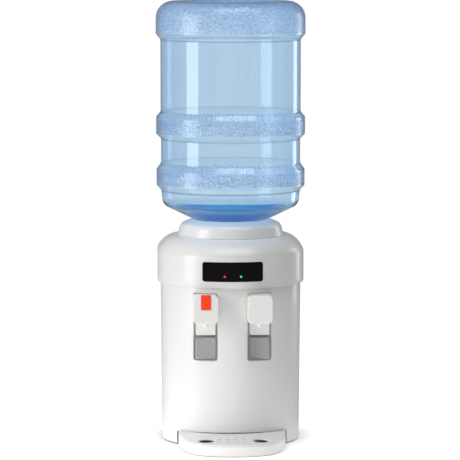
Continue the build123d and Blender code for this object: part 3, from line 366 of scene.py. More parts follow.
def silicone(name):
    m, tree, bsdf = new_material(name)
    at = coords(tree)
    cloud = add(tree, "ShaderNodeTexNoise", Scale=60.0, Detail=4.0)
    tree.links.new(at, cloud.inputs["Vector"])
    tint = ramp(tree, cloud.outputs["Fac"], [(0.3, (0.72, 0.73, 0.72)), (0.7, (0.84, 0.84, 0.82))])
    tree.links.new(tint.outputs["Color"], bsdf.inputs["Base Color"])
    tree.links.new(ramp(tree, cloud.outputs["Fac"], [(0.3, (0.34,) * 3), (0.7, (0.46,) * 3)]).outputs["Color"], bsdf.inputs["Roughness"])
    bsdf.inputs["Subsurface Weight"].default_value = 0.6
    bsdf.inputs["Subsurface Radius"].default_value = (0.003, 0.003, 0.003)
    bsdf.inputs["Subsurface Scale"].default_value = 1.0
    return m


def lens(name, colour, glow):
    """A light pipe: clear coloured plastic, lit from behind."""
    m, tree, bsdf = new_material(name)
    at = coords(tree)
    cloud = add(tree, "ShaderNodeTexNoise", Scale=700.0, Detail=2.0)
    tree.links.new(at, cloud.inputs["Vector"])
    tint = ramp(tree, cloud.outputs["Fac"], [(0.3, tuple(c * 0.8 for c in colour)), (0.7, colour)])
    tree.links.new(tint.outputs["Color"], bsdf.inputs["Base Color"])
    tree.links.new(tint.outputs["Color"], bsdf.inputs["Emission Color"])
    bsdf.inputs["Emission Strength"].default_value = glow
    bsdf.inputs["Roughness"].default_value = 0.12
    return m


def bottle_plastic():
    """Clear blue polycarbonate, with painted shade: a deeper blue painted over the shoulder cone for the view refracted
    through the bottle, thin dark lines at the rib roots and darker flecks in the pebbled bands.
    """
    m, tree, bsdf = new_material("bottle_polycarbonate")
    c = add(tree, "ShaderNodeTexCoord")
    xyz = add(tree, "ShaderNodeSeparateXYZ")
    tree.links.new(c.outputs["Object"], xyz.inputs["Vector"])
    height = add(tree, "ShaderNodeMapRange")
    height.inputs["From Min"].default_value, height.inputs["From Max"].default_value = 0.32, 0.80
    tree.links.new(xyz.outputs["Z"], height.inputs["Value"])

    def at(z):
        return (z - 320.0) / 480.0

    # painted shade: deep, rich and foot paint the shoulder cone and the ring above it in deeper blues, standing in for
    # the view refracted through the bottle
    deep = (0.02, 0.60, 0.86)
    rich = (0.0, 0.37, 0.80)
    foot = (0.80, 0.89, 0.96)
    clear = (0.97, 0.985, 1.0)
    band = (0.97, 0.985, 1.0)
    crown = (0.93, 0.97, 1.0)
    tint = ramp(tree, height.outputs["Result"], [
        (0.0, deep), (at(403), deep), (at(405), rich), (at(414), rich), (at(417), foot), (at(430), foot), (at(440), clear), (at(464), clear), (at(468), band), (at(490), band),
        (at(494), clear), (at(556), clear), (at(560), band), (at(584), band), (at(588), clear), (at(738), clear), (at(742), band), (at(775), band), (at(792), crown), (1.0, crown)])
    streak = add(tree, "ShaderNodeTexNoise", Scale=9.0, Detail=3.0)
    tree.links.new(coords(tree, (6.0, 6.0, 0.8)), streak.inputs["Vector"])
    mix = add(tree, "ShaderNodeMix", data_type="RGBA", blend_type="MULTIPLY")
    mix.inputs["Factor"].default_value = 1.0
    shade = ramp(tree, streak.outputs["Fac"], [(0.3, (0.955, 0.965, 0.985)), (0.7, (1.0, 1.0, 1.0))])
    tree.links.new(tint.outputs["Color"], mix.inputs["A"])
    tree.links.new(shade.outputs["Color"], mix.inputs["B"])
    # painted shade: thin dark lines at the roots of the ribs, standing in for the light that refraction at the rib
    # fillets bends away
    stops = [(0.0, (1.0,) * 3)]
    for z, line in ((417.5, 0.35), (455.0, 0.42), (504.0, 0.72), (548.0, 0.55), (597.0, 0.72), (727.0, 0.62)):
        stops += [(at(z - 2.4), (1.0,) * 3), (at(z), (line, line * 1.12, min(1.0, line * 1.25))), (at(z + 1.6), (1.0,) * 3)]
    painted_rib_lines = add(tree, "ShaderNodeMix", data_type="RGBA", blend_type="MULTIPLY")
    painted_rib_lines.inputs["Factor"].default_value = 1.0
    tree.links.new(mix.outputs["Result"], painted_rib_lines.inputs["A"])
    tree.links.new(ramp(tree, height.outputs["Result"], stops).outputs["Color"], painted_rib_lines.inputs["B"])
    # darker flecks where the pebbles bend the light away
    dots = add(tree, "ShaderNodeTexNoise", Scale=310.0, Detail=2.0, Roughness=0.7)
    tree.links.new(c.outputs["Object"], dots.inputs["Vector"])
    fleck = ramp(tree, dots.outputs["Fac"], [(0.42, (0.26, 0.50, 0.82)), (0.54, (1.0, 1.0, 1.0))])
    fleck_on = ramp(tree, height.outputs["Result"], [
        (0.0, (0.0,) * 3), (at(467), (0.0,) * 3), (at(468), (0.62,) * 3), (at(490), (0.62,) * 3), (at(491), (0.0,) * 3),
        (at(558), (0.0,) * 3), (at(559), (0.62,) * 3), (at(584), (0.62,) * 3), (at(585), (0.0,) * 3), (at(740), (0.0,) * 3), (at(741), (0.50,) * 3), (at(775), (0.60,) * 3), (1.0, (0.7,) * 3)])
    speckled = add(tree, "ShaderNodeMix", data_type="RGBA", blend_type="MULTIPLY")
    tree.links.new(fleck_on.outputs["Color"], speckled.inputs["Factor"])
    tree.links.new(painted_rib_lines.outputs["Result"], speckled.inputs["A"])
    tree.links.new(fleck.outputs["Color"], speckled.inputs["B"])
    tree.links.new(speckled.outputs["Result"], bsdf.inputs["Base Color"])
    wall = add(tree, "ShaderNodeVolumeAbsorption", Density=362.0, Color=(0.22, 0.53, 0.74, 1))
    tree.links.new(wall.outputs["Volume"], tree.nodes["Material Output"].inputs["Volume"])
    # gloss: clear walls, frosted where pebbled
    frost = ramp(tree, height.outputs["Result"], [
        (0.0, (0.02,) * 3), (at(466), (0.02,) * 3), (at(468), (0.10,) * 3), (at(490), (0.10,) * 3), (at(492), (0.02,) * 3),
        (at(557), (0.02,) * 3), (at(559), (0.10,) * 3), (at(584), (0.10,) * 3), (at(586), (0.02,) * 3), (at(738), (0.02,) * 3), (at(741), (0.10,) * 3), (1.0, (0.10,) * 3)])
    tree.links.new(frost.outputs["Color"], bsdf.inputs["Roughness"])
    pebble = add(tree, "ShaderNodeTexVoronoi", Scale=330.0, feature="SMOOTH_F1")
    tree.links.new(c.outputs["Object"], pebble.inputs["Vector"])
    amount = add(tree, "ShaderNodeMath", operation="MULTIPLY")
    tree.links.new(pebble.outputs["Distance"], amount.inputs[0])
    tree.links.new(ramp(tree, height.outputs["Result"], [
        (0.0, (0.0,) * 3), (at(467), (0.0,) * 3), (at(468), (1.0,) * 3), (at(490), (1.0,) * 3), (at(491), (0.0,) * 3),
        (at(558), (0.0,) * 3), (at(559), (1.0,) * 3), (at(584), (1.0,) * 3), (at(585), (0.0,) * 3), (at(740), (0.0,) * 3), (at(741), (1.0,) * 3), (1.0, (1.0,) * 3)]).outputs["Color"], amount.inputs[1])
    b = add(tree, "ShaderNodeBump", Strength=0.5, Distance=0.0008, invert=True)
    tree.links.new(amount.outputs["Value"], b.inputs["Height"])
    tree.links.new(b.outputs["Normal"], bsdf.inputs["Normal"])
    milk = ramp(tree, height.outputs["Result"], [
        (0.0, (1.0,) * 3), (at(466), (1.0,) * 3), (at(469), (0.93,) * 3), (at(489), (0.93,) * 3), (at(492), (1.0,) * 3),
        (at(557), (1.0,) * 3), (at(560), (0.93,) * 3), (at(583), (0.93,) * 3), (at(586), (1.0,) * 3), (at(738), (1.0,) * 3), (at(742), (0.88,) * 3), (1.0, (0.88,) * 3)])
    tree.links.new(milk.outputs["Color"], bsdf.inputs["Transmission Weight"])
    dull = ramp(tree, height.outputs["Result"], [(0.0, (0.08,) * 3), (at(443), (0.06,) * 3), (at(452), (0.5,) * 3), (1.0, (0.5,) * 3)])
    tree.links.new(dull.outputs["Color"], bsdf.inputs["Specular IOR Level"])
    bsdf.inputs["IOR"].default_value = 1.42
    return m


MAT = {
    "white_gloss": plastic("white_abs", (0.86, 0.86, 0.845), 0.006, 0.30, 0.02, grain=1400, bump=0.010, coat=0.2, cloud=5.0),
    "white_satin": plastic("white_polypropylene", (0.82, 0.82, 0.80), 0.02, 0.42, 0.05, grain=1100, bump=0.03, subsurface=0.15),
    "grey_plastic": plastic("rear_panel_plastic", (0.60, 0.61, 0.62), 0.03, 0.55, 0.06, grain=700, bump=0.12),
    "rubber_grey": plastic("ring_rubber", (0.045, 0.045, 0.048), 0.12, 0.78, 0.05, grain=900, bump=0.15, specular=0.3),
    "screw_steel": metal("zinc_plate", (0.66, 0.66, 0.67), 0.28, (1, 1, 1)),
    "window_black": plastic("black_acrylic", (0.003, 0.003, 0.004), 0.3, 0.09, 0.02, grain=1800, bump=0.004, coat=0.0, specular=0.18),
    "indicator_red": lens("red_light_pipe", (0.90, 0.02, 0.02), 0.9),
    "indicator_green": lens("green_light_pipe", (0.02, 0.70, 0.22), 0.9),
    "circuit_board": board("circuit_board"),
    "bottle_blue": bottle_plastic(),
    "cap_blue": plastic("cap_polyethylene", (0.06, 0.20, 0.55), 0.05, 0.4, 0.05, grain=800, bump=0.05, subsurface=0.1),
    "silicone": silicone("silicone"),
    "stainless": metal("stainless_steel", (0.62, 0.62, 0.61), 0.26, (0.3, 0.3, 3.0)),
    "aluminium": metal("extruded_aluminium", (0.74, 0.75, 0.76), 0.34, (3.0, 3.0, 0.2)),
    "ceramic_white": plastic("ceramic", (0.86, 0.86, 0.84), 0.02, 0.3, 0.05, grain=1500, bump=0.03),
    "black_plastic": plastic("black_nylon", (0.022, 0.022, 0.023), 0.2, 0.46, 0.08, grain=900, bump=0.10),
    "foam": foam("bead_foam", (0.84, 0.84, 0.81)),
    "paddle_grey": plastic("paddle_grey", (0.43, 0.435, 0.44), 0.03, 0.34, 0.05, grain=1300, bump=0.03, coat=0.15),
    # the child lock's inner=0.16 is a painted glow
    "lock_orange": plastic("lock_orange", (0.98, 0.055, 0.004), 0.03, 0.36, 0.05, grain=1200, bump=0.02, coat=0.1, inner=0.16),
    "rocker_red": plastic("rocker_red", (0.55, 0.02, 0.02), 0.06, 0.25, 0.05, grain=1200, bump=0.02, coat=0.3),
    "rocker_green": plastic("rocker_green", (0.02, 0.28, 0.08), 0.06, 0.25, 0.05, grain=1200, bump=0.02, coat=0.3),
}
SLOT = {s["node"]: s["material_slot"] for s in frame["record"]["subparts"]}
for node, obj in NODES.items():
    obj.data.materials.clear()
    obj.data.materials.append(MAT[SLOT[node]])
# painted glow: inner=0.06 makes the recess liners, tap bodies and nozzles emit a little light, lifting the shade inside
# the recesses
liner = plastic("liner_white", (0.86, 0.86, 0.845), 0.006, 0.34, 0.02, grain=1400, bump=0.010, cloud=5.0, inner=0.06)
for node in ("hot_tap_recess", "cold_tap_recess", "hot_tap_body", "cold_tap_body", "tap_nozzles"):
    NODES[node].data.materials.clear()
    NODES[node].data.materials.append(liner)
# painted glow: inner=0.07 makes the tap covers emit a little light, standing in for the light they catch where they
# stand out from the cabinet
front = plastic("cover_white", (0.88, 0.88, 0.865), 0.006, 0.28, 0.02, grain=1400, bump=0.010, coat=0.2, cloud=5.0, inner=0.07)
for node in ("hot_tap_cover", "cold_tap_cover"):
    NODES[node].data.materials.clear()
    NODES[node].data.materials.append(front)

# ----------------------------------------------------------------------------
# bottle
# ----------------------------------------------------------------------------
BOTTLE_BENDS = [
    (126.9, 727.0, 4), (126.8, 597.0, 4), (134.9, 587.5, 4), (134.9, 556.5, 4), (126.0, 548.0, 4), (126.0, 504.0, 4),
    (134.2, 492.5, 4), (134.2, 464.0, 4), (126.0, 455.0, 4),
]


def bottle_line(w):
    """Half section of the bottle from the middle of its base, on top, down to the neck, shrunk by w."""
    lift = w * 1.11
    pts = [(0.0, 786.0 - w), (88.0 + w, 788.0 - w, 3), (98.0 + w, 796.5 - w, 3), (135.4 - w, 796.5 - w, 31.0 - w), (135.4 - w, 737.5 + 0.3 * w, 4)]
    for r, z, k in BOTTLE_BENDS:
        up = 0.3 * w if z in (727.0, 556.5, 548.0, 464.0, 455.0) else -0.3 * w
        pts.append((r - w, z + up, k))
    pts += [(122.6 - 0.4 * w, 428.4 + lift, 15.0), (27.5 - w, 382.2 + lift, 4.0 + w), (27.5 - w, 324.0)]
    return soften(pts, steps=9)


def pebbled(r, z):
    """1 in the pebbled bands, 0 in the clear walls."""
    for z0, z1 in ((559.5, 584.5), (467.5, 489.5)):
        if z0 - 1.2 < z < z1 + 1.2:
            return max(0.0, min(1.0, (z - z0 + 1.2) / 1.2, (z1 + 1.2 - z) / 1.2))
    if z > 739.0 and r > 97.0:
        return max(0.0, min(1.0, (z - 739.5) / 1.5, (r - 97.0) / 4.0))
    return 0.0


SEG = 640
outer = dense(bottle_line(0.0), lambda r, z: 1.35 if pebbled(r, z) > 0 or 736 < z < 741 else 9.0)
inner = dense(bottle_line(1.25), 12.0)
body = Skin()
rows = []
for i, (r, z) in enumerate(outer):
    a, b = outer[max(i - 1, 0)], outer[min(i + 1, len(outer) - 1)]
    tr, tz = b[0] - a[0], b[1] - a[1]
    k = hypot(tr, tz)
    nr, nz = -tz / k, tr / k
    if r * nr + (z - 560) * nz < 0 and not r < 98:
        nr, nz = -nr, -nz
    amount = pebbled(r, z)
    row = []
    for s in range(SEG):
        a = 2 * pi * s / SEG - pi / 2
        rr, zz = r, z
        if amount > 0:
            d = noise.voronoi(Vector((r * cos(a), r * sin(a), z)) / 3.3)[0][0]
            h = 0.34 * amount * (max(0.0, 1.0 - 1.5 * d) - 0.45)
            rr, zz = r + nr * h, z + nz * h
        row.append((rr * cos(a), rr * sin(a), zz))
    rows.append(row)
body.fan(rows[1], (0.0, 0.0, outer[0][1]))
body.strip(rows[1:])
inner_rows = lathe_rows(inner, SEG)
body.fan(inner_rows[1], (0.0, 0.0, inner[0][1]))
body.strip(inner_rows[1:])
body.strip([rows[-1], inner_rows[-1]])
bottle = body.make("bottle_body", MAT["bottle_blue"], "bottle", "water_bottle", slot="bottle_blue", crease=60)
bottle.visible_shadow = False

cap = Skin()
cap_line = soften([(9.2, 322.2), (29.6, 322.2, 1.2), (29.6, 352.0, 0.5), (27.7, 352.0, 0.4), (27.7, 323.9), (11.0, 323.9, 0.3), (11.0, 346.0, 0.4), (9.2, 346.0, 0.4)], True)
ribbed = []
for r, z in dense(cap_line, 3.0, True):
    ribbed.append([((r + (0.25 * cos(72 * a) - 0.25 if r > 29.4 and 325 < z < 350 else 0)) * cos(a), (r + (0.25 * cos(72 * a) - 0.25 if r > 29.4 and 325 < z < 350 else 0)) * sin(a), z) for a in (2 * pi * k / 432 for k in range(432))])
cap.strip(ribbed + [ribbed[0]])
cap.make("neck_cap", MAT["cap_blue"], "bottle", "bottle_cap", slot="cap_blue")

# ----------------------------------------------------------------------------
# collar
# ----------------------------------------------------------------------------
DOME_RHO, DOME_T0, DOME_T1 = 47.0, 65.0, 8.0
BAND_R, BAND_BACK, BAND_CORNER, BAND_Z0, BAND_Z1 = 132.7, 110.0, 58.0, 288.5, 346.0


def dome_point(t):
    return DOME_RHO * (sin(radians(DOME_T0)) - sin(radians(t))), BAND_Z1 + DOME_RHO * (cos(radians(t)) - cos(radians(DOME_T0)))


SEAT = dome_point(DOME_T1)[1] + 0.3
collar = Skin()
line = soften([
    (96.4, SEAT, 0.5), (91.9, 389.6, 2.2), (88.2, 394.6, 2.6), (79.5, 398.4, 6), (69.4, 402.0, 1.6), (34.4, 385.1, 3), (31.6, 381.5, 2), (31.6, 318.5, 1),
    (9.0, 318.5, 0.5), (9.0, 316.0, 0.5), (34.1, 316.0, 1.5), (34.1, 382.5, 2), (68.5, 398.6, 1.5), (78.0, 395.0, 4), (86.0, 391.6, 2),
    (89.2, 388.0, 2), (92.6, SEAT + 2.5, 0.5), (82.6, SEAT + 2.5, 1), (82.6, 362.0, 0.6), (85.0, 362.0, 0.6), (85.0, SEAT, 0.4)], True)
rows = lathe_rows(dense(line, 9.0, True), 288)
collar.strip(rows + [rows[0]])
collar.make("collar_ring", MAT["white_gloss"], "collar", "bottle_collar", slot="white_gloss", crease=50)

# ----------------------------------------------------------------------------
# D-shaped outlines
# ----------------------------------------------------------------------------
def plan_lengths(r, back, corner):
    side, arc, rear = back - corner, corner * pi / 2, 2 * (r - corner)
    return [pi * r, side, arc, rear, arc, side]


def plan_at(s, base, r, back, corner):
    """Point at arc length s of the base outline, on the outline with the given sizes."""
    for i, length in enumerate(base):
        if s <= length + 1e-9 or i == 5:
            break
        s -= length
    f = s / base[i]
    cx, cy = r - corner, back - corner
    if i == 0:
        a = pi + pi * f
        return r * cos(a), r * sin(a)
    if i == 1:
        return r, cy * f
    if i == 2:
        a = pi / 2 * f
        return cx + corner * cos(a), cy + corner * sin(a)
    if i == 3:
        return cx - 2 * cx * f, back
    if i == 4:
        a = pi / 2 + pi / 2 * f
        return -cx + corner * cos(a), cy + corner * sin(a)
    return -r, cy * (1 - f)


def stations(base, counts):
    out, s = [], 0.0
    for length, n in zip(base, counts):
        out.extend(s + length * k / n for k in range(n))
        s += length
    return out + [s]


# ----------------------------------------------------------------------------
# cabinet shell: moulded wall with rolled edges round its openings
# ----------------------------------------------------------------------------
R_TOP, R_BOT, CAB_BACK, CAB_CORNER, Z0, Z1, WALL = 127.1, 124.4, 104.4, 52.0, 2.2, 296.0, 2.5
shell_base = plan_lengths(R_TOP, CAB_BACK, CAB_CORNER)
TOTAL = sum(shell_base)


def shell_place(s, z, d=0.0):
    r = R_BOT + (R_TOP - R_BOT) * (z - Z0) / (Z1 - Z0) - d
    x, y = plan_at(max(0.0, min(TOTAL, s)), shell_base, r, CAB_BACK - d, CAB_CORNER - d)
    return x, y, z


def front_s(x, z=200.0):
    """Arc length of the place on the front whose x is given."""
    r = R_BOT + (R_TOP - R_BOT) * (z - Z0) / (Z1 - Z0)
    return (pi / 2 + asin(x / r)) * R_TOP


TAP_X, RECESS_HALF, RECESS_Z0, RECESS_Z1 = 48.3, 21.7, 157.0, 279.0
EDGE = 0.9
openings = []
for x in (-TAP_X, TAP_X):
    loop = dense(rounded_rect(x, (RECESS_Z0 + RECESS_Z1) / 2, RECESS_HALF, (RECESS_Z1 - RECESS_Z0) / 2, 4.5), 3.0, True)
    openings.append([(front_s(px, pz), pz) for px, pz in loop])
gate_r = (99.3 ** 2 + 3.2 ** 2) / (2 * 3.2)
arch = [(x, 27.8 - gate_r + sqrt(gate_r ** 2 - x * x)) for x in [-99.3 + 198.6 * k / 64 for k in range(65)]]
floor_line = [(s, Z0) for s in stations(shell_base, (110, 14, 24, 40, 24, 14)) if not front_s(-99.3, 12) - 1 < s < front_s(99.3, 12) + 1]
left = [p for p in floor_line if p[0] < TOTAL / 2 and p[0] < front_s(-99.3, 12)]
right = [p for p in floor_line if p not in left]
gate = [(front_s(-99.3, z), z) for z in (Z0, 8, 14, 20)] + [(front_s(x, z), z) for x, z in arch] + [(front_s(99.3, z), z) for z in (20, 14, 8, Z0)]
bottom = left + gate + right
rear_mid = shell_base[0] + shell_base[1] + shell_base[2] + shell_base[3] / 2
service = dense(rounded_rect(rear_mid, 158.0, 56.0, 112.0, 6), 4.0, True)
drain = circle(rear_mid - 16.0, 22.0, 7.3, 32)
top = [(s, Z1) for s in stations(shell_base, (110, 14, 24, 40, 24, 14))]

up = grow(bottom, -EDGE, False)
up[0], up[-1] = (0.0, Z0 + EDGE), (TOTAL, Z0 + EDGE)
head = [(s, Z1 - EDGE) for s, _ in top]
seam_z = [Z0 + EDGE + (Z1 - Z0 - 2 * EDGE) * k / 40 for k in range(1, 40)]
holes = [grow(o, EDGE) for o in openings + [service, drain]]
edge_loop = up + [(TOTAL, z) for z in seam_z] + list(reversed(head)) + [(0.0, z) for z in reversed(seam_z)]
fill = clear_of([(s, z) for s in stations(shell_base, (128, 16, 26, 44, 26, 16))[1:-1] for z in seam_z], [edge_loop] + holes, 2.0)
shell = Skin()
for depth in (0.0, WALL):
    shell.patch(edge_loop, holes, fill, lambda s, z, d=depth: shell_place(s, z, d))
for loop in openings + [service, drain]:
    rim(shell, loop, EDGE, WALL, shell_place)


def open_rim(line, ends, sign):
    rows = [(EDGE - EDGE * sin(a), EDGE * (1 - cos(a))) for a in ROLL]
    rows += [(e, WALL - d) for e, d in reversed(rows)]
    made = []
    for e, d in rows:
        row = grow(line, sign * e, False)
        row[0], row[-1] = (0.0, ends[1] + ends[0] * e), (TOTAL, ends[1] + ends[0] * e)
        made.append([shell_place(s, z, d) for s, z in row])
    shell.strip(made, False)


open_rim(bottom, (1.0, Z0), -1.0)
open_rim(top, (-1.0, Z1), 1.0)
shell.make("cabinet_wall", MAT["white_gloss"], "cabinet", "cabinet_shell", slot="white_gloss", crease=40)

# ----------------------------------------------------------------------------
# top cover: band, domed shoulder, pocket for the display window
# ----------------------------------------------------------------------------
cover_base = plan_lengths(BAND_R, BAND_BACK, BAND_CORNER)
COVER_TOTAL = sum(cover_base)
profile = [(2.6 * (1 - sin(a)), BAND_Z0 + 2.6 * (1 - cos(a))) for a in ROLL]
profile += [(0.0, z) for z in (296, 300, 305, 310, 315, 320, 325, 330, 334, 337, 340, 342.4)]
profile += [(0.06, 343.8), (0.28, 345.1), (0.72, 346.4), (1.4, 347.75)]
profile += [dome_point(t) for t in (63, 61, 58, 55, 52, 49, 46, 43, 40, 37, 34, 31, 28, 25, 22, 19, 16, 13, 10.5, 8)]
PANEL_HALF, PANEL_Z0, PANEL_Z1 = 54.0, 300.8, 335.7


def cover_at(s, inset, z):
    x, y = plan_at(max(0.0, min(COVER_TOTAL, s)), cover_base, BAND_R - inset, BAND_BACK - inset, BAND_CORNER - inset)
    return x, y, z


def band_s(x):
    return (pi / 2 + asin(x / BAND_R)) * BAND_R


cover = Skin()
around = stations(cover_base, (150, 16, 28, 44, 28, 16))
low = [p for p in profile if p[1] <= 296.0]
high = [p for p in profile if p[1] >= 340.0]
cover.strip([[cover_at(s, i, z) for s in around] for i, z in low], False)
cover.strip([[cover_at(s, i, z) for s in around] for i, z in high], False)
pocket = [(band_s(x), z) for x, z in dense(rounded_rect(0, (PANEL_Z0 + PANEL_Z1) / 2, PANEL_HALF + 0.25, (PANEL_Z1 - PANEL_Z0) / 2 + 0.25, 4.7), 3.0, True)]
band_edge = [(s, 296.0) for s in around] + [(COVER_TOTAL, z) for z in (300, 310, 320, 330, 335)] + [(s, 340.0) for s in reversed(around)] + [(0.0, z) for z in (335, 330, 320, 310, 300)]
pocket_out = grow(pocket, 0.4)
fill = clear_of([(s, z) for s in around[1:-1] for z in (300, 310, 320, 330, 335)], [pocket_out], 1.5)
cover.patch(band_edge, [pocket_out], fill, lambda s, z: cover_at(s, 0.0, z))
rows = [(0.4 - 0.4 * sin(a), 0.4 * (1 - cos(a))) for a in ROLL] + [(0.0, 1.45)]
cover.strip([[cover_at(s, d, z) for s, z in grow(pocket, e)] for e, d in rows])
cover.patch(pocket, [], clear_of([(s, z) for s in around for z in (310, 320, 330)], [pocket], 2.0), lambda s, z: cover_at(s, 1.45, z))
# inside: wall, ledge over the cabinet's edge, and the underside of the dome
inside = [(2.6, BAND_Z0), (3.4, BAND_Z0 + 0.6), (3.6, 289.6), (3.6, 296.0), (9.3, 296.0), (9.3, 298.4), (3.0, 298.4), (2.8, 343.0)]
inside += [(dome_point(t)[0] + 2.8, dome_point(t)[1] - 2.6) for t in (65, 55, 45, 35, 25, 16, 8)]
cover.strip([[cover_at(s, i, z) for s in around] for i, z in inside], False)
# flat ring under the collar, with the round opening
last_out = [cover_at(s, *profile[-1]) for s in around[:-1]]
last_in = [cover_at(s, *inside[-1]) for s in around[:-1]]


def to_circle(row, z, r=86.0):
    out = []
    for x, y, _ in row:
        a = atan2(y, x)
        out.append((r * cos(a), r * sin(a), z))
    return out


z_top, z_in = profile[-1][1], inside[-1][1]
mid_out = [((x + u) / 2, (y + v) / 2, z_top) for (x, y, _), (u, v, _) in zip(last_out, to_circle(last_out, z_top))]
cover.strip([last_out, mid_out, to_circle(last_out, z_top, 86.6), to_circle(last_out, z_top - 0.3, 86.1), to_circle(last_out, z_top - 0.8), to_circle(last_out, z_in), last_in])
cover.make("top_cover_shell", MAT["white_gloss"], "cabinet", "top_cover", slot="white_gloss", crease=32)

# display window: curved plate with two round holes for the light pipes
window = Skin()
face = [(band_s(x), z) for x, z in dense(rounded_rect(0, (PANEL_Z0 + PANEL_Z1) / 2, PANEL_HALF, (PANEL_Z1 - PANEL_Z0) / 2, 4.5), 3.0, True)]
lights = [[(band_s(x), z) for x, z in circle(cx, 310.0, 2.0, 28)] for cx in (-14.5, 14.5)]
face_in = grow(face, -0.5)
lights_out = [grow(l, 0.3) for l in lights]
fill = clear_of([(s, z) for s in around for z in (304, 308, 312, 316, 320, 324, 328, 332) if inside_loop(s, z, face_in)], [face_in] + lights_out, 1.4)
window.patch(face_in, lights_out, fill, lambda s, z: cover_at(s, 0.0, z))
window.patch(face_in, lights_out, fill, lambda s, z: cover_at(s, 1.3, z))
rows = [(-0.5 + 0.5 * sin(a), 0.5 * (1 - cos(a))) for a in ROLL] + [(0.0, 1.2), (-0.5, 1.3)]
window.strip([[cover_at(s, d, z) for s, z in grow(face, e)] for e, d in rows])
for l in lights:
    window.strip([[cover_at(s, d, z) for s, z in grow(l, e)] for e, d in ((0.3, 0.0), (0.1, 0.08), (0.0, 0.3), (0.0, 1.1), (0.3, 1.3))])
window.make("display_window", MAT["window_black"], "cabinet", "display_panel", slot="window_black", crease=40)

# ----------------------------------------------------------------------------
# drip tray and its cover
# ----------------------------------------------------------------------------
TRAY_PTS = [(96.8, 70), (95.9, 100), (92.2, 130), (86.0, 158), (76.5, 182), (61.0, 201), (38.0, 212.6), (0, 218)]
TILT, CROWN = radians(3.5), 1500.0
WALL_R = 125.6


def smooth_line(pts, per=10):
    """Catmull-Rom curve through the points."""
    out = []
    for i in range(len(pts) - 1):
        p0 = pts[max(i - 1, 0)]
        p1, p2 = pts[i], pts[i + 1]
        p3 = pts[min(i + 2, len(pts) - 1)]
        for k in range(per):
            t = k / per
            out.append(tuple(0.5 * (2 * p1[j] + (p2[j] - p0[j]) * t + (2 * p0[j] - 5 * p1[j] + 4 * p2[j] - p3[j]) * t * t + (3 * p1[j] - p0[j] - 3 * p2[j] + p3[j]) * t ** 3) for j in (0, 1)))
    out.append(pts[-1])
    return out


mirror = TRAY_PTS + [(-x, y) for x, y in reversed(TRAY_PTS[:-1])]
curve = smooth_line(mirror, 9)
right_side = [(x, -y) for x, y in curve]  # from the right inner end round the front to the left inner end


def tray_loop(inset, back_r):
    """Closed outline of the tray's part in front of the cabinet, seen from above, counter-clockwise."""
    line = grow(list(reversed(right_side)), -inset, False)  # left inner end -> front -> right inner end
    keep = [p for p in line if hypot(*p) > back_r]
    first, last = keep[0], keep[-1]
    a0, a1 = atan2(last[1], last[0]), atan2(first[1], first[0])
    # meet the wall exactly
    ends = []
    for p, q in ((line[line.index(first) - 1], first), (line[(line.index(last) + 1) % len(line)], last)):
        lo, hi = 0.0, 1.0
        for _ in range(40):
            m = (lo + hi) / 2
            c = (p[0] + (q[0] - p[0]) * m, p[1] + (q[1] - p[1]) * m)
            lo, hi = (m, hi) if hypot(*c) < back_r else (lo, m)
        ends.append((p[0] + (q[0] - p[0]) * hi, p[1] + (q[1] - p[1]) * hi))
    keep = [ends[0]] + keep + [ends[1]]
    a0, a1 = atan2(ends[1][1], ends[1][0]), atan2(ends[0][1], ends[0][0])
    if a1 > a0:
        a1 -= 2 * pi
    wall = [(back_r * cos(a0 + (a1 - a0) * k / 60), back_r * sin(a0 + (a1 - a0) * k / 60)) for k in range(1, 60)]
    return keep + wall, len(keep)


def even(loop, n_front, n_wall, kept):
    """The same number of evenly spaced points along the front and along the wall, whatever the inset."""
    def run(pts, n):
        d = [0.0]
        for a, b in zip(pts, pts[1:]):
            d.append(d[-1] + hypot(b[0] - a[0], b[1] - a[1]))
        out, j = [], 0
        for k in range(n):
            t = d[-1] * k / n
            while d[j + 1] < t:
                j += 1
            f = (t - d[j]) / (d[j + 1] - d[j])
            out.append((pts[j][0] + (pts[j + 1][0] - pts[j][0]) * f, pts[j][1] + (pts[j + 1][1] - pts[j][1]) * f))
        return out
    return run(loop[:kept], n_front) + run(loop[kept - 1:] + loop[:1], n_wall)


def tray_outline(inset, back_extra=None):
    loop, kept = tray_loop(inset, WALL_R + (inset if back_extra is None else back_extra))
    return even(loop, 170, 64, kept)


def top_z(x, y, height=27.1):
    return height - tan(TILT) * (-y - 124.6) - x * x / (2 * CROWN)


SEAM_LOW, SEAM_HIGH, TOP = 24.5, 24.85, 27.1
tray = Skin()
# outside, rounded at the foot
outside = [(2.0 - 2.0 * sin(a), 0.6 + 2.0 * (1 - cos(a))) for a in ROLL]
rows = [[(x, y, z) for x, y in tray_outline(i)] for i, z in outside]
for f in (0.25, 0.5, 0.75):
    rows.append([(x, y, 2.6 + (top_z(x, y, SEAM_LOW) - 0.5 - 2.6) * f) for x, y in tray_outline(0.0)])
rows += [[(x, y, top_z(x, y, SEAM_LOW) - 0.5 + d) for x, y in tray_outline(e)] for e, d in ((0.0, 0.0), (0.04, 0.2), (0.15, 0.37), (0.34, 0.47), (0.5, 0.5))]
rows += [[(x, y, top_z(x, y, SEAM_LOW)) for x, y in tray_outline(2.2)]]
rows += [[(x, y, top_z(x, y, SEAM_LOW) - 0.3) for x, y in tray_outline(2.4)]]
rows += [[(x, y, z) for x, y in tray_outline(i)] for i, z in ((2.5, 12.0), (2.6, 5.0), (3.2, 3.6), (4.4, 3.0))]
tray.strip(rows)
low_floor = tray_outline(2.0)
tray.patch(low_floor, [], clear_of([p for p in grid(-95, 95, -216, -100, 8, 8) if inside_loop(*p, low_floor)], [low_floor], 3), lambda x, y: (x, y, 0.6))
basin_floor = tray_outline(4.4)
tray.patch(basin_floor, [], clear_of([p for p in grid(-95, 95, -216, -100, 8, 8) if inside_loop(*p, basin_floor)], [basin_floor], 3), lambda x, y: (x, y, 3.0))
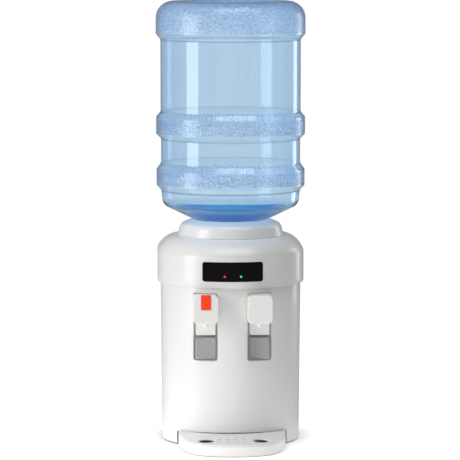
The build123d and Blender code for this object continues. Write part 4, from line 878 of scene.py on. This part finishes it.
# tongue that slides on the base plate
tongue = [(-75.0, -55.0), (75.0, -55.0)]
half = asin(75.0 / 126.6)
tongue = [(126.6 * sin(-half + 2 * half * k / 48), -126.6 * cos(-half + 2 * half * k / 48)) for k in range(49)] + [(75.0, -55.0), (-75.0, -55.0)]
for z in (5.4, 8.4):
    tray.patch(tongue, [], grid(-74, 74, -100, -56, 12, 12), lambda x, y, z=z: (x, y, z))
tray.strip([[(x, y, z) for x, y in tongue] for z in (5.4, 8.4)])
tray.make("tray_basin", MAT["white_gloss"], "drip_tray", "drip_tray", slot="white_gloss", crease=38)

lid = Skin()
HOLE_Y, HOLE_R = -178.0, 13.3
rim_out = tray_outline(0.9)
drips = [circle(x, HOLE_Y, HOLE_R, 64) for x in (-TAP_X, TAP_X)]
dimples = [dense(rounded_rect((k - 1.5) * 14.5, HOLE_Y, 4.3, 12.0, 2.0, 5), 2.0, True) for k in range(4)]
drip_edge = [grow(d, 1.6) for d in drips]
dimple_edge = [grow(d, 0.45) for d in dimples]
fill = clear_of([p for p in grid(-96, 96, -217, -90, 5, 5) if inside_loop(*p, rim_out)], [rim_out] + drip_edge + dimple_edge, 2.0)
lid.patch(rim_out, drip_edge + dimple_edge, fill, lambda x, y: (x, y, top_z(x, y)))
lid.strip([[(x, y, top_z(x, y) - 0.9 * (1 - cos(a))) for x, y in tray_outline(0.9 - 0.9 * sin(a))] for a in ROLL])
lid.strip([[(x, y, top_z(x, y, h)) for x, y in tray_outline(e)] for e, h in ((0.0, TOP - 0.9), (0.0, SEAM_HIGH + 0.3), (0.3, SEAM_HIGH), (2.8, SEAM_HIGH))])
lid.strip([[(x, y, h if h < 20 else top_z(x, y, h)) for x, y in tray_outline(e)] for e, h in ((2.8, SEAM_HIGH), (2.8, 17.0), (3.2, 16.5), (4.0, 16.5), (4.4, 17.0), (4.4, SEAM_HIGH))])
under = tray_outline(4.4)
fill_u = clear_of([p for p in grid(-96, 96, -217, -90, 7, 7) if inside_loop(*p, under)], [under] + drips, 2.0)
lid.patch(under, drips, fill_u, lambda x, y: (x, y, top_z(x, y, SEAM_HIGH)))
for d in drips:
    rows = [(1.6 * (1 - sin(a)), 1.6 * (1 - cos(a))) for a in ROLL]
    made = [[(x, y, top_z(x, y) - dz) for x, y in grow(d, e)] for e, dz in rows]
    made.append([(x, y, top_z(x, y, SEAM_HIGH)) for x, y in d])
    lid.strip(made)
for d in dimples:
    rows = [(0.45 * (1 - sin(a)), 0.45 * (1 - cos(a))) for a in ROLL] + [(-0.1, 1.0), (-0.35, 1.25)]
    lid.strip([[(x, y, top_z(x, y) - dz) for x, y in grow(d, e)] for e, dz in rows])
    floor_loop = grow(d, -0.35)
    lid.patch(floor_loop, [], [], lambda x, y: (x, y, top_z(x, y) - 1.25))
lid.make("tray_lid", MAT["white_gloss"], "drip_tray_cover", "drip_tray_cover", slot="white_gloss", crease=38)

# ----------------------------------------------------------------------------
# stage, camera, light
# ----------------------------------------------------------------------------
AXIS_TURN = radians(1.8)
DISTANCE, HEIGHT, PITCH = 5.6086, 0.9415, radians(5.711)
cam_data = bpy.data.cameras.new("photo_camera")
cam_data.sensor_width = 36.0
cam_data.lens = 242.6
cam_data.clip_start, cam_data.clip_end = 0.1, 300.0
cam = bpy.data.objects.new("photo_camera", cam_data)
scene.collection.objects.link(cam)
cam.location = (-DISTANCE * sin(AXIS_TURN), -DISTANCE * cos(AXIS_TURN), HEIGHT)
cam.rotation_mode = "QUATERNION"
look = Vector((sin(AXIS_TURN) * cos(PITCH), cos(AXIS_TURN) * cos(PITCH), -sin(PITCH)))
cam.rotation_quaternion = look.to_track_quat("-Z", "Y")
cam_data.shift_x = -0.0013
scene.camera = cam

floor_mesh = bpy.data.meshes.new("floor")
ring = [Vector((80 * cos(2 * pi * k / 96), 80 * sin(2 * pi * k / 96), 0.0)) for k in range(96)]
floor_mesh.from_pydata(ring, [], [list(range(96))])
floor = bpy.data.objects.new("floor", floor_mesh)
scene.collection.objects.link(floor)
m, tree, bsdf = new_material("pale_floor")
tone = add(tree, "ShaderNodeTexNoise", Scale=0.6, Detail=2.0)
tree.links.new(coords(tree), tone.inputs["Vector"])
tint = ramp(tree, tone.outputs["Fac"], [(0.3, (0.50, 0.50, 0.50)), (0.7, (0.52, 0.52, 0.52))])
tree.links.new(tint.outputs["Color"], bsdf.inputs["Base Color"])
bsdf.inputs["Roughness"].default_value = 0.6
bsdf.inputs["Specular IOR Level"].default_value = 0.2
bsdf.inputs["Emission Color"].default_value = (1, 1, 1, 1)
# the sweep of the table is lit up to white behind the object and bounces less light onto it
seen_ray = add(tree, "ShaderNodeLightPath")
either = add(tree, "ShaderNodeMath", operation="MAXIMUM")
tree.links.new(seen_ray.outputs["Is Camera Ray"], either.inputs[0])
tree.links.new(seen_ray.outputs["Is Transmission Ray"], either.inputs[1])
level = add(tree, "ShaderNodeMapRange")
level.inputs["To Max"].default_value = 0.88
tree.links.new(either.outputs["Value"], level.inputs["Value"])
aside = add(tree, "ShaderNodeVectorMath", operation="SUBTRACT")
aside.inputs[1].default_value = (-0.14, -0.26, 0.0)
tree.links.new(coords(tree), aside.inputs[0])
span = add(tree, "ShaderNodeVectorMath", operation="LENGTH")
tree.links.new(aside.outputs["Vector"], span.inputs[0])
pool = add(tree, "ShaderNodeMapRange", interpolation_type="SMOOTHSTEP")
pool.inputs["From Min"].default_value, pool.inputs["From Max"].default_value = 0.10, 0.62
pool.inputs["To Min"].default_value, pool.inputs["To Max"].default_value = 1.25, 0.10
tree.links.new(span.outputs["Value"], pool.inputs["Value"])
tree.links.new(pool.outputs["Result"], level.inputs["To Min"])
# painted contact shadow: ambient occlusion darkens the floor's glow round the object's foot
contact = add(tree, "ShaderNodeAmbientOcclusion", samples=8)
contact.inputs["Distance"].default_value = 0.05
shadow = add(tree, "ShaderNodeMath", operation="POWER")
shadow.inputs[1].default_value = 0.9
tree.links.new(contact.outputs["AO"], shadow.inputs[0])
shown = add(tree, "ShaderNodeMath", operation="MULTIPLY")
tree.links.new(level.outputs["Result"], shown.inputs[0])
tree.links.new(shadow.outputs["Value"], shown.inputs[1])
tree.links.new(shown.outputs["Value"], bsdf.inputs["Emission Strength"])
floor_mesh.materials.append(m)

world = bpy.data.worlds.new("studio")
scene.world = world
world.use_nodes = True
tree = world.node_tree
for n in list(tree.nodes):
    tree.nodes.remove(n)
out = tree.nodes.new("ShaderNodeOutputWorld")
seen = add(tree, "ShaderNodeBackground", Color=(1, 1, 1, 1), Strength=1.0)
soft = add(tree, "ShaderNodeBackground", Strength=1.0)
coord = add(tree, "ShaderNodeTexCoord")
side = add(tree, "ShaderNodeVectorMath", operation="DOT_PRODUCT")
side.inputs[1].default_value = Vector((-0.80, -0.35, 0.50)).normalized()
tree.links.new(coord.outputs["Generated"], side.inputs[0])
shade = ramp(tree, side.outputs["Value"], [(0.0, (0.10, 0.10, 0.10)), (0.4, (0.155, 0.155, 0.155)), (1.0, (0.38, 0.38, 0.38))])
fromto = add(tree, "ShaderNodeMapRange")
fromto.inputs["From Min"].default_value, fromto.inputs["From Max"].default_value = -1.0, 1.0
tree.links.new(side.outputs["Value"], fromto.inputs["Value"])
tree.links.new(fromto.outputs["Result"], shade.inputs["Fac"])
tree.links.new(shade.outputs["Color"], soft.inputs["Color"])
path = add(tree, "ShaderNodeLightPath")
choose = add(tree, "ShaderNodeMixShader")
through = add(tree, "ShaderNodeMath", operation="MAXIMUM")
tree.links.new(path.outputs["Is Camera Ray"], through.inputs[0])
tree.links.new(path.outputs["Is Transmission Ray"], through.inputs[1])
tree.links.new(through.outputs["Value"], choose.inputs["Fac"])
tree.links.new(soft.outputs["Background"], choose.inputs[1])
tree.links.new(seen.outputs["Background"], choose.inputs[2])
tree.links.new(choose.outputs["Shader"], out.inputs["Surface"])


def softbox(name, azimuth, height, distance, width, tall, power, aim=0.4, colour=(1, 1, 1)):
    """Area light; azimuth is measured from the front, positive towards +X."""
    data = bpy.data.lights.new(name, "AREA")
    data.shape, data.size, data.size_y, data.energy, data.color = "RECTANGLE", width, tall, power, colour
    lamp = bpy.data.objects.new(name, data)
    scene.collection.objects.link(lamp)
    a = radians(azimuth)
    lamp.location = (distance * sin(a), -distance * cos(a), height)
    lamp.rotation_mode = "QUATERNION"
    lamp.rotation_quaternion = (Vector((0, 0, aim)) - lamp.location).to_track_quat("-Z", "Y")
    lamp.visible_camera = False
    return lamp


softbox("key_left", -66, 0.75, 2.2, 0.85, 1.7, 23)
softbox("fill_right", 62, 0.70, 2.4, 0.7, 1.4, 2.2)
softbox("edge_right", 128, 0.60, 2.0, 0.5, 1.4, 5.5)
softbox("overhead", 12, 2.5, 0.9, 1.7, 1.1, 19, aim=0.3)
